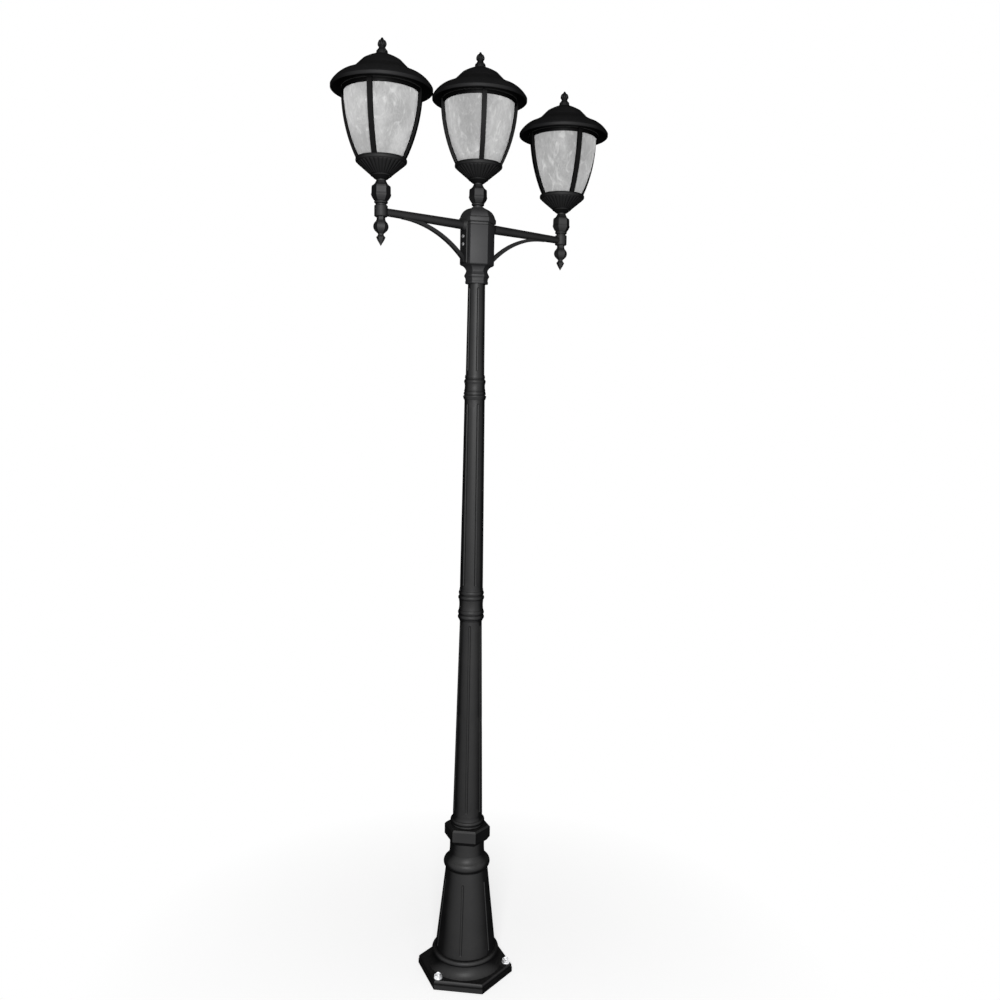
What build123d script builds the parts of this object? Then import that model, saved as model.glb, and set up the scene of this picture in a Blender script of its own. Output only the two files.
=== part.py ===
"""Triple head garden lamp post: a cast aluminium post with two side arms and three glass lanterns.

Millimetres, +Z up. The origin is the centre of the foot, on the ground. +X runs along the right arm and -X
along the left one. Each lantern stands on a hollow stem, and its heights are counted from the stem's seat.
"""
from build123d import *
from math import atan2, cos, degrees, hypot, radians, sqrt
import os

# ---------------------------------------------------------------- driving dimensions
# Heights of the pieces that stand on one another, from the ground up
PEDESTAL_HEIGHT = 446.0
LOWER_SHAFT_LENGTH = 605.0
LOWER_COLLAR_HEIGHT = 93.0
MIDDLE_SHAFT_LENGTH = 532.0
UPPER_COLLAR_HEIGHT = 68.0
UPPER_SHAFT_LENGTH = 248.0
HUB_FOOT_HEIGHT = 50.0          # moulded foot under the hub's six-sided box
HUB_HEIGHT = 112.0              # the box itself
CAP_HEIGHT = 43.5               # up to the seat of the middle lantern's stem

# Pedestal casting
FOOT_RADIUS = 140.5             # from the axis to a corner
FOOT_HEIGHT = 26.0
FOOT_EDGE = 14.0                # upright edge of the foot
FOOT_GROOVE = 2.4               # depth of the groove above the edge
FOOT_GROOVE_HEIGHT = 1.6
FOOT_CHAMFER = 3.0
PLINTH_INSET = 32.5             # from a corner of the foot in to the plinth
FOOT_RING_Z = 64.0
FOOT_RING_RADIUS = 98.0
FOOT_RING_BEAD = 8.0            # radius of the ring's own section
CONE_FOOT_RADIUS = 88.0
CONE_TOP_RADIUS = 61.0
CONE_GROOVE = 2.0               # depth and height of the grooves at the cone's foot and top
CONE_TO_UPPER_RING = 15.0       # from the cone's top up to the upper ring's middle
UPPER_RING_RADIUS = 67.5
UPPER_RING_DROP = 13.0          # height of the upper ring's round below its middle
UPPER_RING_RISE = 12.0          # and above it
UPPER_RING_LIP = 5.0            # upper edge of that round inside its middle
UPPER_RING_TO_NECK = 46.0
NECK_RADIUS = 50.0
NECK_STRAIGHT = 16.0            # straight length between the ring's hollow and the neck's own foot
NECK_LENGTH = 21.0
SOCKET_HEIGHT = 46.0
SOCKET_RADIUS = 67.0            # from the axis to a corner
SOCKET_CHAMFER = 5.0            # at the socket's top
SOCKET_UNDERCUT = 9.0           # width of the larger chamfer under it
SOCKET_UNDERCUT_HEIGHT = 12.0
PEDESTAL_WALL = 9.0
FOOT_CLOCK = 14.3               # turn of a foot corner from the right arm, degrees
ANCHOR_CORNER_INSET = 19.0      # from a corner of the foot in to an anchor hole's axis
ANCHOR_HOLE = 6.75              # radius of an anchor hole
ANCHOR_COUNT = 3
ANCHOR_FIRST_CORNER = 1         # corner, counted from FOOT_CLOCK, that has the first anchor hole

# Shafts: outer radius at the foot and at the top, and the straight bore
LOWER_SHAFT = {"foot": 42.7, "top": 31.4, "bore": 25.4}
MIDDLE_SHAFT = {"foot": 32.8, "top": 28.3, "bore": 22.4}
UPPER_SHAFT = {"foot": 25.8, "top": 23.7, "bore": 17.8}
LOWER_SHAFT_RING = 49.5         # radius of the upper one of the two rings at the lower shaft's foot
LOWER_SHAFT_RINGS_HEIGHT = 20.0
LOWER_SHAFT_WAIST = 4.5         # depth of the grooves beside that ring
LOWER_SHAFT_FLARE = 14.0        # height of the flare above the rings
SHAFT_SPIGOT_LENGTH = 35.0
PEDESTAL_SPIGOT_RADIUS = 36.0
SPIGOT_CLEARANCE = 0.15
CABLE_WAY = 13.0                # bore radius through collars and hub

# Flutes: narrow grooves with round ends
FLUTE_COUNT = 6
FLUTE_RADIUS = 4.5
FLUTE_DEPTH = 1.9
LOWER_FLUTE_CLOCK = -11.9
MIDDLE_FLUTE_CLOCK = 12.6
UPPER_FLUTE_CLOCK = 6.1
CONE_FLUTE_CLOCK = -15.7
FLUTE_END_GAP = 14.0            # plain length left at each end of a shaft
CONE_FLUTE_FOOT_GAP = 16.0
CONE_FLUTE_TOP_GAP = 33.0

# Hub
HUB_RADIUS = 47.5               # from the axis to a corner
HUB_WALL = 6.0
HUB_FOOT_RING = 34.6            # corner radius of the ring under the hub
HUB_FOOT_NECK = 29.5
HUB_GROOVE = 1.2                # depth and height of the groove round the hub's top
HUB_BAND = 6.5                  # plain band above that groove
CAP_RADIUS = 51.0               # from the axis to a corner of the cap's rim
CAP_RIM = 14.0
CAP_HOLLOW_RADIUS = 27.0
CAP_HOLLOW_RISE = 8.0           # height of the hollow above the rim
CAP_BOSS_RADIUS = 17.0
CAP_BOSS_HEIGHT = 2.5
REGISTER_DEPTH = 4.0            # cap's register inside the hub

# Arms
ARM_REACH = 306.5               # post axis to the side lanterns' stem axis
ARM_DROP = 8.5                  # from the hub's top down to the arm's axis
ARM_ROOT_RADIUS = 12.4
ARM_TIP_RADIUS = 9.8
ARM_ROOT_FLARE = 4.0            # cone between the plate and the arm: its extra radius and half its length
ARM_BORE = 5.0
PLATE_WIDTH = 30.0
PLATE_THICKNESS = 6.0
PLATE_RISE = 3.0                # from the hub's box up to the plate's foot
BRACE_WIDTH = 10.0
BRACE_ROOT_RISE = 3.0           # from the plate's foot up to the brace
BRACE_ROOT_DEPTH = 14.5         # upright depth of the brace where it leaves the plate
BRACE_LOWER_REACH = 245.0       # from the post axis to where the brace's underside runs into the arm's
BRACE_LOWER_BOW = 21.7
BRACE_UPPER_REACH = 215.0       # and to where its upper side ends, inside the arm
BRACE_UPPER_BOW = 15.5
BRACE_UPPER_DROP = 4.0          # end of the upper side below the arm's axis
BRACE_TOE_EXTRA = 3.0           # width of the round toe past the brace's
BARREL_RADIUS = 17.0
BARREL_RISE = 15.0              # from the arm's axis up to the stem's seat
BARREL_DROP = 13.0              # from the arm's axis down to the pendant
ARM_SCREW_DROPS = (38.0, 59.0)  # from the hub's top down to the two screws
ARM_SCREW_SPARE_DROP = 73.0     # and to the spare tapped hole
ARM_SCREW_RADIUS = 2.5
ARM_SCREW_HEAD_RADIUS = 4.6
ARM_SCREW_HEAD_HEIGHT = 2.8
PENDANT_HEIGHT = 73.0
PENDANT_SPIGOT_RADIUS = 4.0
PENDANT_SPIGOT_LENGTH = 5.0

# Stem of each lantern, heights from its seat
STEM_RADIUS = 6.5
STEM_BORE = 4.0
STEM_CLEARANCE = 0.1
TURNING_CLEARANCE = 0.06        # running fit of the bowl on the stem
FACE_GAP = 0.3                  # between faces that turn past each other
STEM_DEPTH = 12.0               # length below the seat
STEM_BITE = 8.0                 # length inside the lamp holder
COUPLER_HEIGHT = 63.0
COUPLER_CORNER = 25.5           # radius of the knob's sharp lower corner
COUPLER_NECK = 12.4
BOWL_FLOOR = 7.0
STEM_NUT_RADIUS = 12.0
STEM_NUT_HEIGHT = 5.0

# Lantern
BOWL_FOOT_RADIUS = 16.5
BOWL_CONE_HEIGHT = 41.0         # from the coupler's top up to the bowl's rim
BOWL_RIM_HEIGHT = 10.5
BOWL_RIM_RADIUS = 65.0
BOWL_RING_RISE = 10.0           # from the coupler's top up to the bowl's ring
BOWL_RING_BEAD = 1.8
BOWL_LEDGE_WIDTH = 5.0          # part of the ledge that shows inside the glass
RIB_COUNT = 4
RIB_WIDTH = 12.5
RIB_DEPTH = 9.5
RIB_EDGE_RADIUS = 2.5
RIB_FOOT_RADIUS = 64.3          # outside of a rib where it stands on the bowl's rim
RIB_MIDDLE_RADIUS = 91.0        # outside of a rib half way up
RIB_MIDDLE_RISE = 69.7
RIB_TOP_RADIUS = 104.6
CAGE_HEIGHT = 165.5
CAGE_RING_HEIGHT = 8.5
CAGE_RING_WALL = 5.2
GLASS_WALL = 4.0
GLASS_GAP = 0.5
GLASS_TOP_GAP = 4.0             # glass ends this far below the cage's top
GLASS_SINK = 5.5                # glass stands this far below the bowl's top
SEAT_THICKNESS = 2.5
CAGE_SCREW_RADIUS = 2.0
CAGE_SCREW_HEAD = 3.2
CAGE_SCREW_HEAD_HEIGHT = 2.2
CAGE_SCREW_SINK = 2.4           # top of the head above the foot of the bowl's rim
CAGE_SCREW_BITE = 6.5           # length inside a rib

BRIDGE_WIDTH = 14.0
BRIDGE_THICKNESS = 2.5
BRIDGE_END_INSET = 2.0
BRIDGE_CLEARANCE = 0.2
ROOF_STUD_RADIUS = 3.0
ROOF_STUD_CLEARANCE = 0.5
ROOF_BOSS_WALL = 6.0
ROOF_BOSS_LENGTH = 8.0
ROOF_RING_THICKNESS = 2.0
ROOF_RING_INSET = 0.5           # rubber ring's edges inside the skirt's edges
ROOF_WALL = 3.5
SKIRT_OVERHANG = 0.7            # skirt past the cage's ring
SKIRT_WALL = 6.5
BRIM_REACH = 27.0               # brim past the skirt
BRIM_DROP = 3.5                 # brim's lip below the roof's seat
BRIM_LIP_HEIGHT = 8.0
BRIM_LIP_EDGE = 1.5
SHOULDER_REACH = 4.0            # roof's shoulder past the skirt
SHOULDER_RISE = 28.0            # heights of the roof's bends above its seat
STEP_RISE = 48.0
DOME_RISE = 67.0
CROWN_RISE = 83.0
STEP_RADIUS = 68.0
DOME_RADIUS = 50.0
CROWN_RADIUS = 17.0
CROWN_BOW = 0.9                 # bulge of the crown, hollow of the slope and bulge of the brim
SLOPE_BOW = 1.0
BRIM_BOW = 2.0
FINIAL_HEIGHT = 41.5
FINIAL_FOOT_RADIUS = 15.2
FINIAL_FLUTE_COUNT = 12
FINIAL_FLUTE_RADIUS = 2.4
FINIAL_BORE_DEPTH = 22.0
FINIAL_BORE_GAP = 2.0           # from the stud's end to the bottom of its hole
FINIAL_THREAD_CLEARANCE = 0.08

# Lamp holder and bulb
HOLDER_RADIUS = 21.0
HOLDER_HEIGHT = 40.0
HOLDER_FLOOR = 14.0
HOLDER_GAP = 0.4                # above the stem nut
BULB_CAP_RADIUS = 13.2
BULB_CAP_LENGTH = 26.0
BULB_CAP_GAP = 0.5
BULB_RADIUS = 30.0
BULB_LENGTH = 108.0

# Anchor fasteners, for studs of 12 mm that rise from the ground
STUD_RADIUS = 6.0
STUD_THREAD_CLEARANCE = 0.25
NUT_ACROSS_FLATS = 19.0
NUT_HEIGHT = 8.0
NUT_CHAMFER = 2.2
WASHER_RADIUS = 11.5
WASHER_THICKNESS = 2.5

# Electrical pieces
TERMINAL_SIZE = (30.0, 12.0, 34.0)
TERMINAL_RISE = 12.0            # from the hub's box up to the terminal block
TERMINAL_PITCH = 9.0
TERMINAL_MOUTH_RADIUS = 2.6
TERMINAL_MOUTH_DEPTH = 5.0
EARTH_SCREW_Z = 124.0
EARTH_SCREW_RADIUS = 3.0
EARTH_SCREW_BITE = 6.0          # length in the pedestal's wall
EARTH_SCREW_HEAD_RADIUS = 5.8
EARTH_SCREW_HEAD_HEIGHT = 4.0
EARTH_BOSS_RADIUS = 10.0
EARTH_BOSS_HEIGHT = 7.0

# ---------------------------------------------------------------- worked-out sizes
HEX = cos(radians(30))          # apothem of a hexagon as a share of its corner radius
CUT = 1.0                       # length by which a cutter overshoots a face

LOWER_SHAFT_TOP_Z = PEDESTAL_HEIGHT + LOWER_SHAFT_LENGTH
LOWER_COLLAR_TOP_Z = LOWER_SHAFT_TOP_Z + LOWER_COLLAR_HEIGHT
MIDDLE_SHAFT_TOP_Z = LOWER_COLLAR_TOP_Z + MIDDLE_SHAFT_LENGTH
UPPER_COLLAR_TOP_Z = MIDDLE_SHAFT_TOP_Z + UPPER_COLLAR_HEIGHT
UPPER_SHAFT_TOP_Z = UPPER_COLLAR_TOP_Z + UPPER_SHAFT_LENGTH
HUB_BOX_Z = UPPER_SHAFT_TOP_Z + HUB_FOOT_HEIGHT
HUB_TOP_Z = HUB_BOX_Z + HUB_HEIGHT
CAP_TOP_Z = HUB_TOP_Z + CAP_HEIGHT

SOCKET_Z = PEDESTAL_HEIGHT - SOCKET_HEIGHT
NECK_Z = SOCKET_Z - NECK_LENGTH
UPPER_RING_Z = NECK_Z - UPPER_RING_TO_NECK
CONE_TOP_Z = UPPER_RING_Z - CONE_TO_UPPER_RING
CONE_FOOT_Z = FOOT_RING_Z + FOOT_RING_BEAD
ANCHOR_CIRCLE = FOOT_RADIUS - ANCHOR_CORNER_INSET
PLINTH_RADIUS = FOOT_RADIUS - PLINTH_INSET

HUB_FLAT = HUB_RADIUS * HEX
PLATE_FACE = HUB_FLAT + PLATE_THICKNESS
PLATE_FOOT_Z = HUB_BOX_Z + PLATE_RISE
ARM_Z = HUB_TOP_Z - ARM_DROP
SIDE_SEAT_Z = ARM_Z + BARREL_RISE
BARREL_FOOT_Z = ARM_Z - BARREL_DROP
NUT_RADIUS = NUT_ACROSS_FLATS / 2 / HEX

BOWL_FOOT_Z = COUPLER_HEIGHT + FACE_GAP
BOWL_FLOOR_Z = BOWL_FOOT_Z + BOWL_FLOOR
BOWL_RIM_Z = COUPLER_HEIGHT + BOWL_CONE_HEIGHT
BOWL_TOP_Z = BOWL_RIM_Z + BOWL_RIM_HEIGHT
STEM_NUT_Z = BOWL_FLOOR_Z + FACE_GAP
HOLDER_Z = STEM_NUT_Z + STEM_NUT_HEIGHT + HOLDER_GAP
BULB_Z = HOLDER_Z + HOLDER_FLOOR + BULB_CAP_GAP
GLASS_SEAT_Z = BOWL_TOP_Z - GLASS_SINK
CAGE_TOP_Z = BOWL_TOP_Z + CAGE_HEIGHT
CAGE_RING_Z = CAGE_TOP_Z - CAGE_RING_HEIGHT
CAGE_RING_INSIDE = RIB_TOP_RADIUS - RIB_DEPTH
CAGE_RING_RADIUS = CAGE_RING_INSIDE + CAGE_RING_WALL
CAGE_SCREW_CIRCLE = RIB_FOOT_RADIUS - RIB_DEPTH / 2
CAGE_SCREW_HEAD_Z = BOWL_RIM_Z + CAGE_SCREW_SINK
ROOF_SEAT_Z = CAGE_TOP_Z + ROOF_RING_THICKNESS
CROWN_Z = ROOF_SEAT_Z + CROWN_RISE
SKIRT_RADIUS = CAGE_RING_RADIUS + SKIRT_OVERHANG
BRIM_RADIUS = SKIRT_RADIUS + BRIM_REACH


# ---------------------------------------------------------------- shared shapes
def outline(start, *steps):
    """Closed face in the XZ plane.

    A step is a point, or points that a curve runs through, or a point and the bow of an arc to it. A bow is
    the distance of the arc's middle from its chord, positive to the right of the way there.
    """
    edges = []
    here = start
    for step in steps:
        if not isinstance(step[0], tuple):
            run = Line(here, step)
            here = step
        elif not isinstance(step[1], tuple):
            end, bow = step
            run = ThreePointArc(here, bowed(here, end, bow), end)
            here = end
        else:
            run = ThreePointArc(here, *step) if len(step) == 2 else Spline(here, *step)
            here = step[-1]
        edges.append(run)
    edges.append(Line(here, start))
    return Plane.XZ * make_face(edges)


def bowed(start, end, bow):
    """Middle of the arc between two points that stands off their chord by a bow."""
    across = end[0] - start[0]
    up = end[1] - start[1]
    share = bow / hypot(across, up)
    return ((start[0] + end[0]) / 2 + up * share, (start[1] + end[1]) / 2 - across * share)


def turned(start, *steps):
    """Solid of revolution about Z of an outline of (radius, height) points."""
    return revolve(outline(start, *steps), Axis.Z)


def tube(outer, bore, foot, top):
    """Straight round tube between two heights."""
    return turned((bore, foot), (outer, foot), (outer, top), (bore, top))


def rod(radius, foot, top):
    """Plain round bar between two heights."""
    return Pos(0, 0, (foot + top) / 2) * Cylinder(radius, top - foot)


def six_sided(start, *steps):
    """Solid with six equal curved sides. The outline gives its corner radius at each height."""
    half = scale(outline(start, *steps), by=(HEX, 1, 1))
    slab = extrude(half, amount=3 * FOOT_RADIUS, both=True)
    slab = slab + mirror(slab, Plane.YZ)
    return slab & (Rot(0, 0, 60) * slab) & (Rot(0, 0, 120) * slab)


def around(piece, count, first=0.0):
    """Copies of a piece, evenly spaced about Z."""
    return [Rot(0, 0, first + k * 360 / count) * piece for k in range(count)]


def flutes(foot_radius, foot, top_radius, top, clock):
    """Cutters for round-ended grooves that follow a taper between two heights."""
    sink = FLUTE_RADIUS - FLUTE_DEPTH
    lean = degrees(atan2(foot_radius - top_radius, top - foot))
    run = hypot(foot_radius - top_radius, top - foot)
    capsule = Cylinder(FLUTE_RADIUS, run) + Pos(0, 0, run / 2) * Sphere(FLUTE_RADIUS)
    capsule = capsule + Pos(0, 0, -run / 2) * Sphere(FLUTE_RADIUS)
    middle = (foot_radius + top_radius) / 2 + sink
    capsule = Pos(middle, 0, (foot + top) / 2) * Rot(0, -lean, 0) * capsule
    return around(capsule, FLUTE_COUNT, clock)


# ---------------------------------------------------------------- post
def pedestal():
    """Foot casting: six-sided foot, plinth, fluted cone and six-sided socket, hollow underneath."""
    casting = pedestal_foot() + pedestal_body() + pedestal_socket()
    cone_flutes = flutes(
        cone_radius(CONE_FOOT_Z + CONE_FLUTE_FOOT_GAP), CONE_FOOT_Z + CONE_FLUTE_FOOT_GAP,
        cone_radius(CONE_TOP_Z - CONE_FLUTE_TOP_GAP), CONE_TOP_Z - CONE_FLUTE_TOP_GAP, CONE_FLUTE_CLOCK,
    )
    casting = casting - cone_flutes - pedestal_hollow()
    boss = earth_place() * rod(EARTH_BOSS_RADIUS, -EARTH_BOSS_HEIGHT, EARTH_BOSS_HEIGHT)
    # A bar just larger than the hollow keeps the boss off the outside.
    keep = rod(
        pedestal_inside(EARTH_SCREW_Z) + PEDESTAL_WALL / 2,
        EARTH_SCREW_Z - 2 * EARTH_BOSS_RADIUS, EARTH_SCREW_Z + 2 * EARTH_BOSS_RADIUS,
    )
    tapping = earth_place() * rod(EARTH_SCREW_RADIUS, -EARTH_SCREW_BITE - FACE_GAP, EARTH_BOSS_HEIGHT + CUT)
    anchor = Pos(ANCHOR_CIRCLE, 0, 0) * rod(ANCHOR_HOLE, -CUT, FOOT_HEIGHT + CUT)
    return casting + (boss & keep) - tapping - around(anchor, ANCHOR_COUNT, anchor_clock())


def pedestal_foot():
    """Six-sided foot with an upright edge, a groove and a rounded, chamfered top."""
    waist = FOOT_RADIUS - FOOT_GROOVE
    bead_foot = FOOT_EDGE + FOOT_GROOVE_HEIGHT
    bead_top = FOOT_HEIGHT - FOOT_CHAMFER
    foot = six_sided(
        (0, 0), (FOOT_RADIUS, 0), (FOOT_RADIUS, FOOT_EDGE), (waist, FOOT_EDGE), (waist, bead_foot),
        ((waist, bead_top), FOOT_GROOVE / 2), (waist - FOOT_CHAMFER, FOOT_HEIGHT), (0, FOOT_HEIGHT),
    )
    return Rot(0, 0, FOOT_CLOCK + 30) * foot


def pedestal_body():
    """Round part of the casting, from the plinth up to the six-sided socket."""
    ring_hub = FOOT_RING_RADIUS - FOOT_RING_BEAD
    ring_foot = UPPER_RING_Z - UPPER_RING_DROP
    ring_top = UPPER_RING_Z + UPPER_RING_RISE
    groove_radius = CONE_FOOT_RADIUS - CONE_GROOVE
    return turned(
        (0, FOOT_HEIGHT / 2), (PLINTH_RADIUS, FOOT_HEIGHT / 2), (PLINTH_RADIUS, FOOT_HEIGHT),
        ((ring_hub, FOOT_RING_Z - FOOT_RING_BEAD), -5.0),
        ((FOOT_RING_RADIUS, FOOT_RING_Z), (ring_hub, CONE_FOOT_Z)),
        (groove_radius, CONE_FOOT_Z), (groove_radius, CONE_FOOT_Z + CONE_GROOVE),
        (cone_radius(CONE_FOOT_Z + CONE_GROOVE), CONE_FOOT_Z + CONE_GROOVE), (CONE_TOP_RADIUS, CONE_TOP_Z),
        (CONE_TOP_RADIUS - CONE_GROOVE, CONE_TOP_Z), (CONE_TOP_RADIUS - CONE_GROOVE, ring_foot),
        (CONE_TOP_RADIUS - CONE_GROOVE / 2, ring_foot),
        ((UPPER_RING_RADIUS, UPPER_RING_Z), (UPPER_RING_RADIUS - UPPER_RING_LIP, ring_top)),
        ((NECK_RADIUS + 0.8, NECK_Z - NECK_STRAIGHT), -2.0), (NECK_RADIUS, NECK_Z),
        (NECK_RADIUS, SOCKET_Z + CUT), (0, SOCKET_Z + CUT),
    )


def pedestal_socket():
    """Six-sided socket at the pedestal's top, chamfered at both ends."""
    shoulder = SOCKET_RADIUS - SOCKET_CHAMFER
    socket = six_sided(
        (0, SOCKET_Z), (SOCKET_RADIUS - SOCKET_UNDERCUT, SOCKET_Z),
        (SOCKET_RADIUS, SOCKET_Z + SOCKET_UNDERCUT_HEIGHT), (SOCKET_RADIUS, PEDESTAL_HEIGHT - SOCKET_CHAMFER),
        (shoulder, PEDESTAL_HEIGHT), (0, PEDESTAL_HEIGHT),
    )
    return Rot(0, 0, FOOT_CLOCK + 30) * socket


def pedestal_hollow():
    """Space inside the pedestal: cable room, then the bore for the lower shaft's spigot."""
    room = CONE_FOOT_RADIUS - PEDESTAL_WALL
    bore = PEDESTAL_SPIGOT_RADIUS + SPIGOT_CLEARANCE
    throat = bore - PEDESTAL_WALL
    bore_foot = PEDESTAL_HEIGHT - SHAFT_SPIGOT_LENGTH - CUT
    return turned(
        (0, -CUT), (room, -CUT), (room, CONE_FOOT_Z), (CONE_TOP_RADIUS - PEDESTAL_WALL, CONE_TOP_Z),
        (throat, bore_foot - PEDESTAL_WALL), (throat, bore_foot), (bore, bore_foot),
        (bore, PEDESTAL_HEIGHT + CUT), (0, PEDESTAL_HEIGHT + CUT),
    )


def cone_radius(z):
    """Outer radius of the pedestal's cone at a height."""
    share = (z - CONE_FOOT_Z) / (CONE_TOP_Z - CONE_FOOT_Z)
    return CONE_FOOT_RADIUS - share * (CONE_FOOT_RADIUS - CONE_TOP_RADIUS)


def pedestal_inside(z):
    """Radius of the pedestal's hollow at a height on its cone."""
    return cone_radius(z) - PEDESTAL_WALL


def anchor_clock():
    """Angle of the first anchor hole from the right arm."""
    return FOOT_CLOCK + 60 * ANCHOR_FIRST_CORNER


def earth_place():
    """Where the earth screw's axis crosses the hollow's wall, on the back, pointing at the post's axis."""
    return Pos(0, pedestal_inside(EARTH_SCREW_Z), EARTH_SCREW_Z) * Rot(90, 0, 0)


def earth_screw():
    """Hexagon screw in the boss inside the pedestal."""
    head = extrude(RegularPolygon(EARTH_SCREW_HEAD_RADIUS, 6), amount=EARTH_SCREW_HEAD_HEIGHT)
    shank = rod(EARTH_SCREW_RADIUS - STEM_CLEARANCE, -EARTH_SCREW_BITE, EARTH_BOSS_HEIGHT + CUT)
    return earth_place() * (Pos(0, 0, EARTH_BOSS_HEIGHT) * head + shank)


def lower_shaft():
    """Tapered fluted shaft with two rings at its foot and a spigot that fits the pedestal's socket."""
    foot = PEDESTAL_HEIGHT
    ring_top = foot + LOWER_SHAFT_RINGS_HEIGHT
    flare_top = ring_top + LOWER_SHAFT_FLARE
    waist = LOWER_SHAFT_RING - LOWER_SHAFT_WAIST
    spigot_foot = foot - SHAFT_SPIGOT_LENGTH
    body = turned(
        (LOWER_SHAFT["bore"], spigot_foot), (PEDESTAL_SPIGOT_RADIUS, spigot_foot),
        (PEDESTAL_SPIGOT_RADIUS, foot), (waist, foot), ((waist + 2, foot + 3), (waist, foot + 6)),
        (waist, ring_top - 12),
        ((LOWER_SHAFT_RING, ring_top - 6), (waist, ring_top)), (waist - 0.5, ring_top),
        ((LOWER_SHAFT["foot"], flare_top), -0.8), (LOWER_SHAFT["top"], LOWER_SHAFT_TOP_Z),
        (LOWER_SHAFT["bore"], LOWER_SHAFT_TOP_Z),
    )
    return body - shaft_flutes(LOWER_SHAFT, flare_top, LOWER_SHAFT_TOP_Z, LOWER_FLUTE_CLOCK)


def shaft_flutes(shaft, foot, top, clock):
    """Grooves of a shaft, kept clear of its two ends."""
    inset = (shaft["foot"] - shaft["top"]) / (top - foot) * FLUTE_END_GAP
    return flutes(
        shaft["foot"] - inset, foot + FLUTE_END_GAP, shaft["top"] + inset, top - FLUTE_END_GAP, clock,
    )


def plain_shaft(shaft, foot, top, clock):
    """Tapered fluted tube between two collars."""
    body = turned((shaft["bore"], foot), (shaft["foot"], foot), (shaft["top"], top), (shaft["bore"], top))
    return body - shaft_flutes(shaft, foot, top, clock)


def collar(foot, top, below, above, *moulding):
    """Collar with a spigot into the bore of the shaft below it and one into the bore of the shaft above."""
    low = below["bore"] - SPIGOT_CLEARANCE
    high = above["bore"] - SPIGOT_CLEARANCE
    return turned(
        (CABLE_WAY, foot - SHAFT_SPIGOT_LENGTH), (low, foot - SHAFT_SPIGOT_LENGTH), (low, foot),
        *moulding,
        (high, top), (high, top + SHAFT_SPIGOT_LENGTH), (CABLE_WAY, top + SHAFT_SPIGOT_LENGTH),
    )


def lower_collar():
    """Waisted collar with two beads at each end, parted by narrow grooves."""
    foot = LOWER_SHAFT_TOP_Z
    top = LOWER_COLLAR_TOP_Z
    return collar(
        foot, top, LOWER_SHAFT, MIDDLE_SHAFT,
        (32.6, foot), (34.5, foot + 5), ((37.4, foot + 11), (35.4, foot + 17)),
        (33.9, foot + 17), (33.9, foot + 19), (35.4, foot + 19), ((37.0, foot + 25), (35.4, foot + 30.5)),
        (34.0, foot + 30.5), (34.0, foot + 32), (34.9, foot + 32), ((34.7, top - 32.5), -1.2),
        (33.6, top - 32.5), (33.6, top - 31), (34.9, top - 31), ((37.0, top - 26), (35.0, top - 20.5)),
        (33.3, top - 20.5), (33.3, top - 18), (34.2, top - 18), ((35.8, top - 12), (34.2, top - 7)),
        (33.0, top - 7), (33.0, top - 5.5), (33.8, top - 5.5), (33.4, top),
    )


def upper_collar():
    """Small waisted collar with a flared lower ring, an upper ring and narrow grooves."""
    foot = MIDDLE_SHAFT_TOP_Z
    top = UPPER_COLLAR_TOP_Z
    return collar(
        foot, top, MIDDLE_SHAFT, UPPER_SHAFT,
        (29.4, foot), (30.2, foot + 2), (32.1, foot + 8), (32.1, foot + 11), (29.4, foot + 12.5),
        (29.4, foot + 14), (30.8, foot + 15), (30.4, foot + 21), (28.9, foot + 22), (28.9, foot + 23.5),
        (29.9, foot + 24.5), ((28.4, top - 24), -1.1), (30.0, top - 19), (30.0, top - 15), (28.0, top - 12),
        (26.9, top - 10.5), (26.9, top - 9), (28.0, top - 7.5), (27.4, top),
    )


def hub():
    """Six-sided box on a moulded foot, with a spigot into the upper shaft and an open top."""
    foot = UPPER_SHAFT_TOP_Z
    groove_top = HUB_TOP_Z - HUB_BAND
    groove_foot = groove_top - HUB_GROOVE
    groove_radius = HUB_RADIUS - HUB_GROOVE
    outside = six_sided(
        (0, foot), (30.8, foot), (32.0, foot + 3), (32.0, foot + 6), (30.9, foot + 8),
        (31.6, foot + 14), ((HUB_FOOT_RING, foot + 19), -0.5), (HUB_FOOT_RING, foot + 24),
        (32.8, foot + 26), (HUB_FOOT_NECK, foot + 34), ((HUB_RADIUS - 3, HUB_BOX_Z - 1), -3.0),
        (HUB_RADIUS, HUB_BOX_Z + 2), (HUB_RADIUS, groove_foot), (groove_radius, groove_foot),
        (groove_radius, groove_top), (HUB_RADIUS, groove_top), (HUB_RADIUS, HUB_TOP_Z - 1),
        (HUB_RADIUS - 1, HUB_TOP_Z), (0, HUB_TOP_Z),
    )
    spigot = rod(UPPER_SHAFT["bore"] - SPIGOT_CLEARANCE, foot - SHAFT_SPIGOT_LENGTH, foot + CUT)
    room = HUB_FLAT - HUB_WALL
    inside = turned(
        (0, foot - SHAFT_SPIGOT_LENGTH - CUT), (CABLE_WAY, foot - SHAFT_SPIGOT_LENGTH - CUT),
        (CABLE_WAY, HUB_BOX_Z + 4), (room, HUB_BOX_Z + TERMINAL_RISE), (room, HUB_TOP_Z + CUT),
        (0, HUB_TOP_Z + CUT),
    )
    box = outside + spigot - inside
    across = Rot(0, 90, 0)
    holes = [Pos(0, 0, ARM_Z) * across * Cylinder(ARM_BORE, 4 * HUB_RADIUS)]
    for drop in ARM_SCREW_DROPS:
        holes.append(Pos(0, 0, HUB_TOP_Z - drop) * across * Cylinder(ARM_SCREW_RADIUS, 4 * HUB_RADIUS))
    return box - holes


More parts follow.
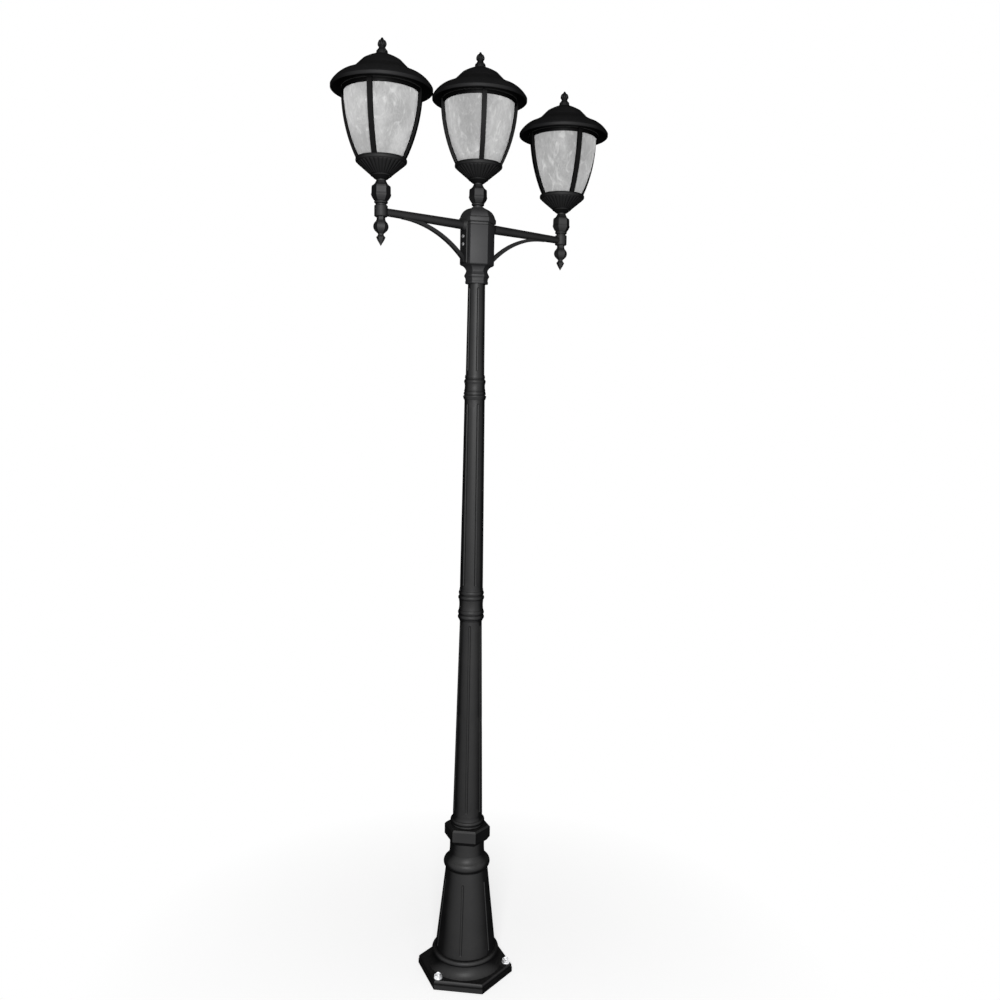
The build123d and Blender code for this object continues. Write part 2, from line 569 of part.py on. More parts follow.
def hub_cap():
    """Six-sided dome that closes the hub and carries the middle lantern's stem."""
    rim_top = HUB_TOP_Z + CAP_RIM
    crown = CAP_TOP_Z - CAP_BOSS_HEIGHT
    dome = six_sided(
        (0, HUB_TOP_Z), (CAP_RADIUS - 1.5, HUB_TOP_Z), (CAP_RADIUS, HUB_TOP_Z + 2), (CAP_RADIUS, rim_top - 2),
        (CAP_RADIUS - 2.5, rim_top), ((CAP_BOSS_RADIUS + 2, crown), 6.6), (0, crown),
    )
    register_foot = HUB_TOP_Z - REGISTER_DEPTH
    register = rod(HUB_FLAT - HUB_WALL - SPIGOT_CLEARANCE, register_foot, HUB_TOP_Z + CUT)
    boss = rod(CAP_BOSS_RADIUS, crown - CUT, CAP_TOP_Z)
    hollow = rod(CAP_HOLLOW_RADIUS, register_foot - CUT, rim_top + CAP_HOLLOW_RISE)
    bore = rod(STEM_RADIUS + STEM_CLEARANCE, register_foot, CAP_TOP_Z + CUT)
    return dome + register + boss - hollow - bore


def arm():
    """Right arm casting: wall plate, tapered hollow arm, curved brace and upright socket."""
    length = ARM_REACH - PLATE_FACE
    along = Rot(0, 90, 0)
    bar = Pos(PLATE_FACE + length / 2, 0, ARM_Z) * along * Cone(ARM_ROOT_RADIUS, ARM_TIP_RADIUS, length)
    root = Cone(ARM_ROOT_RADIUS + ARM_ROOT_FLARE, ARM_ROOT_RADIUS, 2 * ARM_ROOT_FLARE)
    root = Pos(PLATE_FACE + ARM_ROOT_FLARE, 0, ARM_Z) * along * root
    plate = Pos(HUB_FLAT + PLATE_THICKNESS / 2, 0, (PLATE_FOOT_Z + HUB_TOP_Z) / 2) * Box(
        PLATE_THICKNESS, PLATE_WIDTH, HUB_TOP_Z - PLATE_FOOT_Z
    )
    plate = chamfer(plate.edges().filter_by(Axis.Z).group_by(Axis.X)[-1], PLATE_THICKNESS / 3)
    barrel = Pos(ARM_REACH, 0, 0) * turned(
        (0, BARREL_FOOT_Z), (BARREL_RADIUS - 1.5, BARREL_FOOT_Z), (BARREL_RADIUS, BARREL_FOOT_Z + 1.5),
        (BARREL_RADIUS, SIDE_SEAT_Z - 1.5), (BARREL_RADIUS - 1.5, SIDE_SEAT_Z), (0, SIDE_SEAT_Z),
    )
    casting = plate + bar + root + barrel + brace()
    bore = Pos((ARM_REACH + HUB_FLAT) / 2, 0, ARM_Z) * along * Cylinder(ARM_BORE, ARM_REACH - HUB_FLAT)
    stem_hole = rod(STEM_RADIUS + STEM_CLEARANCE, ARM_Z - ARM_BORE, SIDE_SEAT_Z + CUT)
    pendant_hole = rod(
        PENDANT_SPIGOT_RADIUS + STEM_CLEARANCE, BARREL_FOOT_Z - CUT,
        BARREL_FOOT_Z + PENDANT_SPIGOT_LENGTH + CUT,
    )
    casting = casting - bore - Pos(ARM_REACH, 0, 0) * stem_hole - Pos(ARM_REACH, 0, 0) * pendant_hole
    for drop in (*ARM_SCREW_DROPS, ARM_SCREW_SPARE_DROP):
        screw_hole = along * Cylinder(ARM_SCREW_RADIUS, 3 * PLATE_THICKNESS)
        casting = casting - Pos(PLATE_FACE, 0, HUB_TOP_Z - drop) * screw_hole
    return casting


def brace():
    """Curved brace under the arm, from the plate's foot to where its underside runs into the arm's."""
    root = PLATE_FACE - CUT
    root_z = PLATE_FOOT_Z + BRACE_ROOT_RISE
    taper = (ARM_ROOT_RADIUS - ARM_TIP_RADIUS) / (ARM_REACH - PLATE_FACE)
    underside_z = ARM_Z - ARM_ROOT_RADIUS + taper * (BRACE_LOWER_REACH - PLATE_FACE)
    side = outline(
        (root, root_z), ((BRACE_LOWER_REACH, underside_z), -BRACE_LOWER_BOW),
        (BRACE_UPPER_REACH, ARM_Z - BRACE_UPPER_DROP), ((root, root_z + BRACE_ROOT_DEPTH), BRACE_UPPER_BOW),
    )
    toe = Rot(90, 0, 0) * Cylinder(PLATE_THICKNESS, BRACE_WIDTH + BRACE_TOE_EXTRA)
    toe = Pos(PLATE_FACE, 0, PLATE_FOOT_Z + PLATE_THICKNESS) * toe
    return extrude(side, amount=BRACE_WIDTH / 2, both=True) + toe


def arm_screws():
    """Pan-head screws that hold the two plates to the hub, two a side."""
    shank_length = PLATE_THICKNESS + HUB_WALL - CUT
    shank = rod(ARM_SCREW_RADIUS - STEM_CLEARANCE, -shank_length, 0)
    head = turned(
        (0, 0), (ARM_SCREW_HEAD_RADIUS, 0), (ARM_SCREW_HEAD_RADIUS, 0.8),
        (ARM_SCREW_HEAD_RADIUS - 1.0, ARM_SCREW_HEAD_HEIGHT - 0.5),
        (ARM_SCREW_HEAD_RADIUS - 2.4, ARM_SCREW_HEAD_HEIGHT), (0, ARM_SCREW_HEAD_HEIGHT),
    )
    screw = Pos(PLATE_FACE, 0, 0) * Rot(0, 90, 0) * (shank + head)
    return [Pos(0, 0, HUB_TOP_Z - drop) * turn for drop in ARM_SCREW_DROPS for turn in around(screw, 2)]


def pendant():
    """Six-sided drop under a side socket: bud, neck and arrow tip, with a round spigot in the socket."""
    top = BARREL_FOOT_Z
    tip = top - PENDANT_HEIGHT
    drop = six_sided(
        (0, top), (BARREL_RADIUS - 5, top), ((11.0, top - 6), (14.5, top - 13)),
        ((19.4, top - 24), (14.5, top - 36)), (9.0, top - 41), ((7.2, top - 44), (8.4, top - 47)),
        (11.8, top - 51), ((4.6, tip + 8), -0.5), (0, tip),
    )
    return drop + rod(PENDANT_SPIGOT_RADIUS, top - CUT, top + PENDANT_SPIGOT_LENGTH)


def anchor_washers():
    """Plain washers on the three anchor corners."""
    washer = tube(WASHER_RADIUS, ANCHOR_HOLE, FOOT_HEIGHT, FOOT_HEIGHT + WASHER_THICKNESS)
    return around(Pos(ANCHOR_CIRCLE, 0, 0) * washer, ANCHOR_COUNT, anchor_clock())


def anchor_nuts():
    """Hexagon nuts on the washers, for studs that rise from the ground."""
    nut = extrude(RegularPolygon(NUT_RADIUS, 6), amount=NUT_HEIGHT)
    crown = turned(
        (0, 0), (NUT_RADIUS + CUT, 0), (NUT_RADIUS + CUT, NUT_HEIGHT - NUT_CHAMFER),
        (NUT_ACROSS_FLATS / 2, NUT_HEIGHT), (0, NUT_HEIGHT),
    )
    nut = (nut & crown) - rod(STUD_RADIUS + STUD_THREAD_CLEARANCE, -CUT, NUT_HEIGHT + CUT)
    return around(Pos(ANCHOR_CIRCLE, 0, FOOT_HEIGHT + WASHER_THICKNESS) * nut, ANCHOR_COUNT, anchor_clock())


def terminal_block():
    """Moulded terminal block that stands against the hub's back wall, with six wire mouths."""
    width, depth, height = TERMINAL_SIZE
    room = HUB_FLAT - HUB_WALL
    back = sqrt(room * room - width * width / 4)
    foot = HUB_BOX_Z + TERMINAL_RISE
    block = Pos(0, back - depth / 2, foot + height / 2) * Box(width, depth, height)
    mouth = Cylinder(TERMINAL_MOUTH_RADIUS, 2 * TERMINAL_MOUTH_DEPTH)
    for column in (-1, 0, 1):
        for level in (foot, foot + height):
            block = block - Pos(column * TERMINAL_PITCH, back - depth / 2, level) * mouth
    return block


# ---------------------------------------------------------------- lantern, heights from the stem's seat
def coupler():
    """Six-sided knob on a round foot, with a flare up to a round neck, bored for the stem."""
    low = turned(
        (0, 0), (13.5, 0), (13.5, 3.5), (15.5, 4.5), ((17.4, 7.5), (15.5, 10.5)), (14.5, 11.5), (0, 11.5),
    )
    knob = six_sided(
        (0, 11), (17.5, 11), (22.3, 18), (24.5, 22.5), (COUPLER_CORNER, 26.0), (COUPLER_CORNER - 1.0, 30),
        (24.2, 44), (23.2, 48.0), ((14.2, 57.0), -1.2), (COUPLER_NECK, 60.5), (0, 60.5),
    )
    neck = rod(COUPLER_NECK, 60, COUPLER_HEIGHT)
    return low + knob + neck - rod(STEM_RADIUS + STEM_CLEARANCE, -CUT, COUPLER_HEIGHT + CUT)


def stem():
    """Hollow threaded stem from the socket up to the lamp holder."""
    return tube(STEM_RADIUS, STEM_BORE, -STEM_DEPTH, HOLDER_Z + STEM_BITE)


def stem_nut():
    """Flat nut that holds the bowl down on the coupler and lets it turn when eased."""
    nut = extrude(RegularPolygon(STEM_NUT_RADIUS, 6), amount=STEM_NUT_HEIGHT)
    return Pos(0, 0, STEM_NUT_Z) * (nut - rod(STEM_RADIUS, -CUT, STEM_NUT_HEIGHT + CUT))


def bowl_radius(z):
    """Outer radius of the bowl's cone at a height."""
    slope = (BOWL_RIM_RADIUS - 3.5 - BOWL_FOOT_RADIUS) / (BOWL_RIM_Z - 1 - BOWL_FOOT_Z)
    return BOWL_FOOT_RADIUS + slope * (z - BOWL_FOOT_Z)


def bowl():
    """Cone-shaped bowl with a ring near its foot, a rim and a ledge for the glass."""
    ledge = GLASS_SEAT_Z - SEAT_THICKNESS
    ring_z = COUPLER_HEIGHT + BOWL_RING_RISE
    bore = STEM_RADIUS + TURNING_CLEARANCE
    recess = RIB_FOOT_RADIUS - RIB_DEPTH + 2 * GLASS_GAP
    hollow = rib_radius(GLASS_SEAT_Z) - RIB_DEPTH - GLASS_WALL - BOWL_LEDGE_WIDTH
    body = turned(
        (bore, BOWL_FOOT_Z), (BOWL_FOOT_RADIUS, BOWL_FOOT_Z), (bowl_radius(ring_z - 2), ring_z - 2),
        ((bowl_radius(ring_z + 2), ring_z + 2), BOWL_RING_BEAD),
        (bowl_radius(BOWL_RIM_Z - 1), BOWL_RIM_Z - 1), (BOWL_RIM_RADIUS - 1.6, BOWL_RIM_Z),
        ((BOWL_RIM_RADIUS, BOWL_RIM_Z + 5), (BOWL_RIM_RADIUS - 2, BOWL_TOP_Z)), (recess, BOWL_TOP_Z),
        (recess, ledge), (hollow, ledge), (hollow, ledge - 3), (STEM_NUT_RADIUS + 5, BOWL_FLOOR_Z),
        (bore, BOWL_FLOOR_Z),
    )
    hole = rod(CAGE_SCREW_RADIUS + STEM_CLEARANCE, BOWL_RIM_Z, BOWL_TOP_Z + CUT)
    sink = rod(CAGE_SCREW_HEAD + SPIGOT_CLEARANCE, BOWL_RIM_Z - 8, CAGE_SCREW_HEAD_Z)
    return body - around(Pos(CAGE_SCREW_CIRCLE, 0, 0) * (hole + sink), RIB_COUNT)


def cage_screws():
    """Screws that come up through the bowl's rim into the four rib feet, with sunk heads."""
    head = rod(CAGE_SCREW_HEAD, CAGE_SCREW_HEAD_Z - CAGE_SCREW_HEAD_HEIGHT, CAGE_SCREW_HEAD_Z)
    screw = head + rod(CAGE_SCREW_RADIUS, CAGE_SCREW_HEAD_Z - 0.1, BOWL_TOP_Z + CAGE_SCREW_BITE)
    return around(Pos(CAGE_SCREW_CIRCLE, 0, 0) * screw, RIB_COUNT)


def rib_arc():
    """Centre (radius, height) and radius of the arc on a rib's outside."""
    x1, z1 = RIB_FOOT_RADIUS, BOWL_TOP_Z
    x2, z2 = RIB_MIDDLE_RADIUS, BOWL_TOP_Z + RIB_MIDDLE_RISE
    x3, z3 = RIB_TOP_RADIUS, CAGE_TOP_Z
    turn = 2 * (x1 * (z2 - z3) + x2 * (z3 - z1) + x3 * (z1 - z2))
    s1, s2, s3 = x1 * x1 + z1 * z1, x2 * x2 + z2 * z2, x3 * x3 + z3 * z3
    cx = (s1 * (z2 - z3) + s2 * (z3 - z1) + s3 * (z1 - z2)) / turn
    cz = (s1 * (x3 - x2) + s2 * (x1 - x3) + s3 * (x2 - x1)) / turn
    return cx, cz, hypot(x1 - cx, z1 - cz)


def rib_radius(z):
    """Radius of a rib's outside at a height."""
    cx, cz, radius = rib_arc()
    return cx + sqrt(radius * radius - (z - cz) ** 2)


def barrel_outline(inset, foot, top):
    """Points of the cage's barrel curve, moved in by an inset: foot, middle and top."""
    middle = (foot + top) / 2
    return [(rib_radius(z) - inset, z) for z in (foot, middle, top)]


def cage():
    """Four curved ribs under a top ring, one casting, with a notch for the bridge bar."""
    outer = barrel_outline(0, BOWL_TOP_Z, CAGE_TOP_Z)
    inner = barrel_outline(RIB_DEPTH, BOWL_TOP_Z, CAGE_TOP_Z)
    face = outline(outer[0], (outer[1], outer[2]), inner[2], (inner[1], inner[0]))
    rib = extrude(face, amount=RIB_WIDTH / 2, both=True)
    outer_edges = rib.edges().sort_by(SortBy.LENGTH)[-2:]
    rib = fillet(outer_edges, RIB_EDGE_RADIUS)
    screw_hole = rod(CAGE_SCREW_RADIUS, BOWL_TOP_Z - CUT, BOWL_TOP_Z + CAGE_SCREW_BITE + CUT)
    rib = rib - Pos(CAGE_SCREW_CIRCLE, 0, 0) * screw_hole
    casting = tube(CAGE_RING_RADIUS, CAGE_RING_INSIDE, CAGE_RING_Z, CAGE_TOP_Z)
    for one in around(rib, RIB_COUNT):
        casting = casting + one
    notch = Pos(0, 0, CAGE_TOP_Z) * Box(
        2 * (bridge_reach() + BRIDGE_CLEARANCE), BRIDGE_WIDTH + 2 * BRIDGE_CLEARANCE, 2 * BRIDGE_THICKNESS
    )
    return casting - Rot(0, 0, bridge_clock()) * notch


def glass():
    """One-piece barrel of clouded glass, open at both ends."""
    top = CAGE_TOP_Z - GLASS_TOP_GAP
    outer = barrel_outline(RIB_DEPTH + GLASS_GAP, GLASS_SEAT_Z, top)
    inner = barrel_outline(RIB_DEPTH + GLASS_GAP + GLASS_WALL, GLASS_SEAT_Z, top)
    return turned(outer[0], (outer[1], outer[2]), inner[2], (inner[1], inner[0]))


def glass_seat():
    """Rubber ring between the bowl's ledge and the glass."""
    outer = rib_radius(GLASS_SEAT_Z) - RIB_DEPTH
    return tube(outer, outer - GLASS_WALL - 3, GLASS_SEAT_Z - SEAT_THICKNESS, GLASS_SEAT_Z)


def bridge_reach():
    """Half length of the bridge bar."""
    return CAGE_RING_RADIUS - BRIDGE_END_INSET


def bridge_clock():
    """Turn of the bridge bar from the first rib: midway to the next one."""
    return 180 / RIB_COUNT


def bridge():
    """Steel bar across the cage's top ring, with the stud that the finial screws on."""
    reach = bridge_reach()
    foot = CAGE_TOP_Z - BRIDGE_THICKNESS
    bar = Pos(0, 0, foot + BRIDGE_THICKNESS / 2) * Box(2 * reach, BRIDGE_WIDTH, BRIDGE_THICKNESS)
    bar = Rot(0, 0, bridge_clock()) * (bar & rod(reach, foot - CUT, CAGE_TOP_Z + CUT))
    return bar + rod(ROOF_STUD_RADIUS, foot, CROWN_Z + FINIAL_BORE_DEPTH - FINIAL_BORE_GAP)


def roof_ring():
    """Rubber ring between the roof's skirt and the cage."""
    outer = SKIRT_RADIUS - ROOF_RING_INSET
    return tube(outer, SKIRT_RADIUS - SKIRT_WALL + ROOF_RING_INSET, CAGE_TOP_Z, ROOF_SEAT_Z)


def roof():
    """Brimmed roof shell with an upper dome, and a skirt that stands on the cage."""
    wall = ROOF_WALL
    lip_foot = ROOF_SEAT_Z - BRIM_DROP
    lip_top = lip_foot + BRIM_LIP_HEIGHT
    shoulder, shoulder_z = SKIRT_RADIUS + SHOULDER_REACH, ROOF_SEAT_Z + SHOULDER_RISE
    step, step_z = STEP_RADIUS, ROOF_SEAT_Z + STEP_RISE
    dome, dome_z = DOME_RADIUS, ROOF_SEAT_Z + DOME_RISE
    stud_hole = ROOF_STUD_RADIUS + ROOF_STUD_CLEARANCE
    inside = BRIM_RADIUS - wall
    shell = turned(
        (stud_hole, CROWN_Z), (CROWN_RADIUS, CROWN_Z), ((dome, dome_z), -CROWN_BOW),
        (step - 6, step_z + 7), (step - 2, step_z + 3), (step, step_z),
        ((shoulder, shoulder_z), SLOPE_BOW), ((BRIM_RADIUS, lip_top), -BRIM_BOW),
        (BRIM_RADIUS, lip_foot + BRIM_LIP_EDGE), (BRIM_RADIUS - BRIM_LIP_EDGE, lip_foot), (inside, lip_foot),
        (inside, lip_top - BRIM_LIP_EDGE), ((shoulder - 1, shoulder_z - wall - 1), BRIM_BOW),
        ((step - 2, step_z - wall - 0.5), -SLOPE_BOW), (dome - wall, dome_z - wall),
        ((CROWN_RADIUS - 1, CROWN_Z - wall), CROWN_BOW), (stud_hole, CROWN_Z - wall),
    )
    skirt = tube(SKIRT_RADIUS, SKIRT_RADIUS - SKIRT_WALL, ROOF_SEAT_Z, shoulder_z - CUT)
    boss = tube(stud_hole + ROOF_BOSS_WALL, stud_hole, CROWN_Z - wall - ROOF_BOSS_LENGTH, CROWN_Z - CUT)
    return shell + skirt + boss


def finial():
    """Fluted foot, waist and pointed bud, with a blind threaded hole for the roof stud."""
    foot = CROWN_Z
    top = foot + FINIAL_HEIGHT
    body = turned(
        (0, foot), (FINIAL_FOOT_RADIUS, foot), (FINIAL_FOOT_RADIUS - 0.6, foot + 9),
        ((11.0, foot + 13), (8.5, foot + 17)), ((9.8, foot + 20), (11.5, foot + 24)),
        ((10.6, foot + 29), (8.6, foot + 33.5)), ((6.2, top - 4), (3.2, top - 1.4), (0, top)),
    )
    groove = Pos(FINIAL_FOOT_RADIUS + FINIAL_FLUTE_RADIUS / 2, 0, foot + 10) * Rot(0, -16, 0) * Cylinder(
        FINIAL_FLUTE_RADIUS, 26
    )
    bore = rod(ROOF_STUD_RADIUS + FINIAL_THREAD_CLEARANCE, foot - CUT, foot + FINIAL_BORE_DEPTH)
    return body - around(groove, FINIAL_FLUTE_COUNT) - bore


def lamp_holder():
    """Ceramic holder that screws on the stem's end, with the bulb's socket."""
    top = HOLDER_Z + HOLDER_HEIGHT
    socket = BULB_CAP_RADIUS + BULB_CAP_GAP
    wire_way = STEM_BORE + 0.5
    return turned(
        (STEM_RADIUS, HOLDER_Z), (HOLDER_RADIUS - 5, HOLDER_Z), (HOLDER_RADIUS - 2, HOLDER_Z + 10),
        (HOLDER_RADIUS, HOLDER_Z + 16), (HOLDER_RADIUS, top - 2), (HOLDER_RADIUS - 2, top), (socket, top),
        (socket, HOLDER_Z + HOLDER_FLOOR), (wire_way, HOLDER_Z + HOLDER_FLOOR),
        (wire_way, HOLDER_Z + STEM_BITE), (STEM_RADIUS, HOLDER_Z + STEM_BITE),
    )


def bulb():
    """Pear-shaped bulb with its screw cap."""
    top = BULB_Z + BULB_LENGTH
    neck = BULB_Z + BULB_CAP_LENGTH
    widest = top - BULB_RADIUS
    high = BULB_RADIUS * HEX
    return turned(
        (0, BULB_Z), (5.0, BULB_Z), (9.0, BULB_Z + 3), (BULB_CAP_RADIUS, BULB_Z + 6), (BULB_CAP_RADIUS, neck),
        ((BULB_CAP_RADIUS + 3.0, neck + 14), (BULB_RADIUS - 7, neck + 32), (BULB_RADIUS, widest)),
        ((high, widest + BULB_RADIUS / 2), (BULB_RADIUS / 2, widest + high), (0, top)),
    )


# ---------------------------------------------------------------- the whole lamp post
# Place of each lantern's seat, and the turn of its first rib from the right arm in degrees
LANTERNS = {
    "left": {"place": Pos(-ARM_REACH, 0, SIDE_SEAT_Z), "rib": -138.0},
    "middle": {"place": Pos(0, 0, CAP_TOP_Z), "rib": -120.0},
    "right": {"place": Pos(ARM_REACH, 0, SIDE_SEAT_Z), "rib": -105.0},
}

FIXED_PIECES = {
    "coupler": coupler, "stem": stem, "stem_nut": stem_nut, "lamp_holder": lamp_holder, "bulb": bulb,
}

TURNING_PIECES = {
    "bowl": bowl, "glass_seat": glass_seat, "glass": glass, "cage": cage, "cage_screws": cage_screws,
    "bridge": bridge, "roof_ring": roof_ring, "roof": roof, "finial": finial,
}


def placed(pieces, place):
    """A piece, or each solid of a group, moved to its place."""
    if isinstance(pieces, list):
        return [place * piece for piece in pieces]
    return place * pieces


def build_nodes():
    """Every named piece of the lamp post, in its place."""
    right_arm = arm()
    right_pendant = Pos(ARM_REACH, 0, 0) * pendant()
    nodes = {
        "pedestal": pedestal(),
        "lower_shaft": lower_shaft(),
        "lower_collar": lower_collar(),
        "middle_shaft": plain_shaft(MIDDLE_SHAFT, LOWER_COLLAR_TOP_Z, MIDDLE_SHAFT_TOP_Z, MIDDLE_FLUTE_CLOCK),
        "upper_collar": upper_collar(),
        "upper_shaft": plain_shaft(UPPER_SHAFT, UPPER_COLLAR_TOP_Z, UPPER_SHAFT_TOP_Z, UPPER_FLUTE_CLOCK),
        "hub": hub(),
        "hub_cap": hub_cap(),
        "right_arm": right_arm,
        "left_arm": Rot(0, 0, 180) * right_arm,
        "arm_screws": arm_screws(),
        "right_pendant": right_pendant,
        "left_pendant": Rot(0, 0, 180) * right_pendant,
        "anchor_washers": anchor_washers(),
        "anchor_nuts": anchor_nuts(),
        "terminal_block": terminal_block(),
        "earth_screw": earth_screw(),
    }
    for kind, make in FIXED_PIECES.items():
        piece = make()
        for side, lantern in LANTERNS.items():
            nodes[f"{side}_{kind}"] = lantern["place"] * piece
    for kind, make in TURNING_PIECES.items():
        piece = make()
        for side, lantern in LANTERNS.items():
            nodes[f"{side}_{kind}"] = placed(piece, lantern["place"] * Rot(0, 0, lantern["rib"]))
    return nodes


os.makedirs("parts", exist_ok=True)
for name, piece in build_nodes().items():
    parts = piece if isinstance(piece, list) else [piece]
    solids = [solid for part in parts for solid in part.solids()]
    export_step(Compound(children=solids) if len(solids) > 1 else solids[0], f"parts/{name}.step")
    print(name, len(solids))
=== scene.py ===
"""Triple head garden lamp post: black powder-coated cast aluminium with clouded glass lanterns."""
from math import atan2, cos, hypot, pi, radians, sin, sqrt

import bpy
from mathutils import Euler, Matrix, Vector


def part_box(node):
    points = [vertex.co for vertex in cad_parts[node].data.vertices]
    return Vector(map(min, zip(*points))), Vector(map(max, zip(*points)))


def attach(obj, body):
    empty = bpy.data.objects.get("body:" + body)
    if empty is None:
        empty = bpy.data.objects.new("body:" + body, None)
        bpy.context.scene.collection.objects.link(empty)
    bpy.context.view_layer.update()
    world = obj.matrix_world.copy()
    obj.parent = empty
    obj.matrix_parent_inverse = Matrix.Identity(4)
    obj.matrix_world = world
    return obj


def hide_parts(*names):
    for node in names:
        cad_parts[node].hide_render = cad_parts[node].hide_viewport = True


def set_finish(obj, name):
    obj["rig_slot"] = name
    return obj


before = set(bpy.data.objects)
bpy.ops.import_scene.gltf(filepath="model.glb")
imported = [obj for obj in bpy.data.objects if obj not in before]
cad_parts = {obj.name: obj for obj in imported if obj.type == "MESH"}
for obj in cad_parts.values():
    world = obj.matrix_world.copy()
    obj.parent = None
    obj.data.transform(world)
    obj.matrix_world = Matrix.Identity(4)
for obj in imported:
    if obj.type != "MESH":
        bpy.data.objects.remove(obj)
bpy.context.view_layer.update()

# ---- Camera
# The photograph was taken standing a little over two and a half metres away, at eye height, looking slightly
# down, with the camera tipped by about a degree. The post is seen with its right arm pointing away.
EYE = (-1.584, -2.106, 1.675)
PITCH, YAW, TIP = 83.978, -38.61, 1.157     # degrees
LENS, SENSOR = 33.85, 36.0                  # millimetres

camera_data = bpy.data.cameras.new("camera")
camera_data.lens = LENS
camera_data.sensor_width = SENSOR
camera = bpy.data.objects.new("camera", camera_data)
bpy.context.scene.collection.objects.link(camera)
camera.location = EYE
looking = Euler((radians(PITCH), 0.0, radians(YAW)), "XYZ").to_matrix()
camera.rotation_euler = (looking @ Matrix.Rotation(radians(TIP), 3, "Z")).to_euler()
bpy.context.scene.camera = camera
bpy.context.scene.view_settings.view_transform = "Standard"

# ---- Floor and daylight
# A plain pale floor under the foot, which keeps the post's shadow. To the camera and in reflections it runs
# into the white surround. A soft overcast sky and two large soft lamps from the photographer's side light
# the post.
FLOOR_SIDE = 14.0
FLOOR_TONE = (0.86, 0.86, 0.86, 1)
FLOOR_GLOW = 0.6                # lifts the lit floor to white, only where it is seen or reflected
FLOOR_NEAR, FLOOR_FAR = 0.3, 1.1    # metres from the post between which the floor fades to white
WHITE = (1, 1, 1, 1)
DAYLIGHT = 0.14


def calc(tree, how, a, b):
    """Shader arithmetic on two sockets or numbers."""
    made = tree.nodes.new("ShaderNodeMath")
    made.operation = how
    for place, value in enumerate((a, b)):
        if isinstance(value, (int, float)):
            made.inputs[place].default_value = value
        else:
            tree.links.new(value, made.inputs[place])
    return made.outputs[0]


def spread(tree, value, low, high, to_low=0.0, to_high=1.0, ease="LINEAR"):
    """Shader mapping of one range of a socket's value to another range."""
    made = tree.nodes.new("ShaderNodeMapRange")
    made.interpolation_type = ease
    for place, number in zip(("From Min", "From Max", "To Min", "To Max"), (low, high, to_low, to_high)):
        made.inputs[place].default_value = number
    tree.links.new(value, made.inputs["Value"])
    return made.outputs["Result"]


def end_in_mix(tree, share, lit, white, output):
    """Ends a tree in a mix of its lit shader and its white one."""
    blend = tree.nodes.new("ShaderNodeMixShader")
    for place, value in enumerate((share, lit.outputs[0], white.outputs[0])):
        tree.links.new(value, blend.inputs[place])
    tree.links.new(blend.outputs[0], tree.nodes[output].inputs["Surface"])


bpy.ops.mesh.primitive_plane_add(size=FLOOR_SIDE, location=(0, 0, 0))
floor = bpy.context.object
floor.name = "floor"
floor_paint = bpy.data.materials.new("floor_paint")
floor_paint.use_nodes = True
floor_tree = floor_paint.node_tree
paint = floor_tree.nodes["Principled BSDF"]
paint.inputs["Base Color"].default_value = FLOOR_TONE
paint.inputs["Roughness"].default_value = 0.9
paint.inputs["Specular IOR Level"].default_value = 0.1
paint.inputs["Emission Color"].default_value = WHITE
sight = floor_tree.nodes.new("ShaderNodeLightPath")
shown = calc(floor_tree, "MAXIMUM", sight.outputs["Is Camera Ray"], sight.outputs["Is Glossy Ray"])
floor_tree.links.new(calc(floor_tree, "MULTIPLY", shown, FLOOR_GLOW), paint.inputs["Emission Strength"])
spot = floor_tree.nodes.new("ShaderNodeTexCoord")
reach = floor_tree.nodes.new("ShaderNodeVectorMath")
reach.operation = "LENGTH"
floor_tree.links.new(spot.outputs["Object"], reach.inputs[0])
fade = calc(floor_tree, "MULTIPLY", spread(floor_tree, reach.outputs["Value"], FLOOR_NEAR, FLOOR_FAR), shown)
end_in_mix(floor_tree, fade, paint, floor_tree.nodes.new("ShaderNodeEmission"), "Material Output")
floor.data.materials.append(floor_paint)

world = bpy.data.worlds.new("surround")
bpy.context.scene.world = world
world.use_nodes = True
sky_tree = world.node_tree
daylight = sky_tree.nodes["Background"]
surround = sky_tree.nodes.new("ShaderNodeBackground")
for light, strength in ((daylight, DAYLIGHT), (surround, 1.0)):
    light.inputs["Color"].default_value = WHITE
    light.inputs["Strength"].default_value = strength
rays = sky_tree.nodes.new("ShaderNodeLightPath")
seen = calc(sky_tree, "MAXIMUM", rays.outputs["Is Camera Ray"], rays.outputs["Is Glossy Ray"])
seen_through = calc(sky_tree, "MAXIMUM", seen, rays.outputs["Is Transmission Ray"])
end_in_mix(sky_tree, seen_through, daylight, surround, "World Output")


def soft_lamp(name, place, aim, width, height, power):
    """A large rectangular lamp that faces a point on the object."""
    data = bpy.data.lights.new(name, "AREA")
    data.shape = "RECTANGLE"
    data.size = width
    data.size_y = height
    data.energy = power
    lamp = bpy.data.objects.new(name, data)
    lamp.location = place
    lamp.rotation_euler = (Vector(aim) - Vector(place)).to_track_quat("-Z", "Y").to_euler()
    bpy.context.scene.collection.objects.link(lamp)


soft_lamp("key", (-1.75, -2.2, 2.45), (0, 0, 2.15), 0.9, 1.1, 62)
soft_lamp("fill", (-1.2, -3.6, 0.9), (0, 0, 1.0), 1.2, 1.6, 14)


# ---- Pedestal
# One hollow aluminium casting, black powder-coated: six-sided foot, plinth, ring, fluted cone and socket.
# The sand-cast skin stays faintly pebbled under the coat, and what faces up is lighter: dust, with painted
# light from above.
def set_sockets(node, **values):
    """Sets a node's sockets, which are named as arguments with an underscore for each space."""
    for socket, value in values.items():
        node.inputs[socket.replace("_", " ")].default_value = value


def noise(tree, where, size, detail, rough=0.5, warp=0.0):
    """Shader mottle with spots of about the given size, in metres."""
    made = tree.nodes.new("ShaderNodeTexNoise")
    set_sockets(made, Scale=1 / size, Detail=detail, Roughness=rough, Distortion=warp)
    tree.links.new(where, made.inputs["Vector"])
    return made.outputs["Fac"]


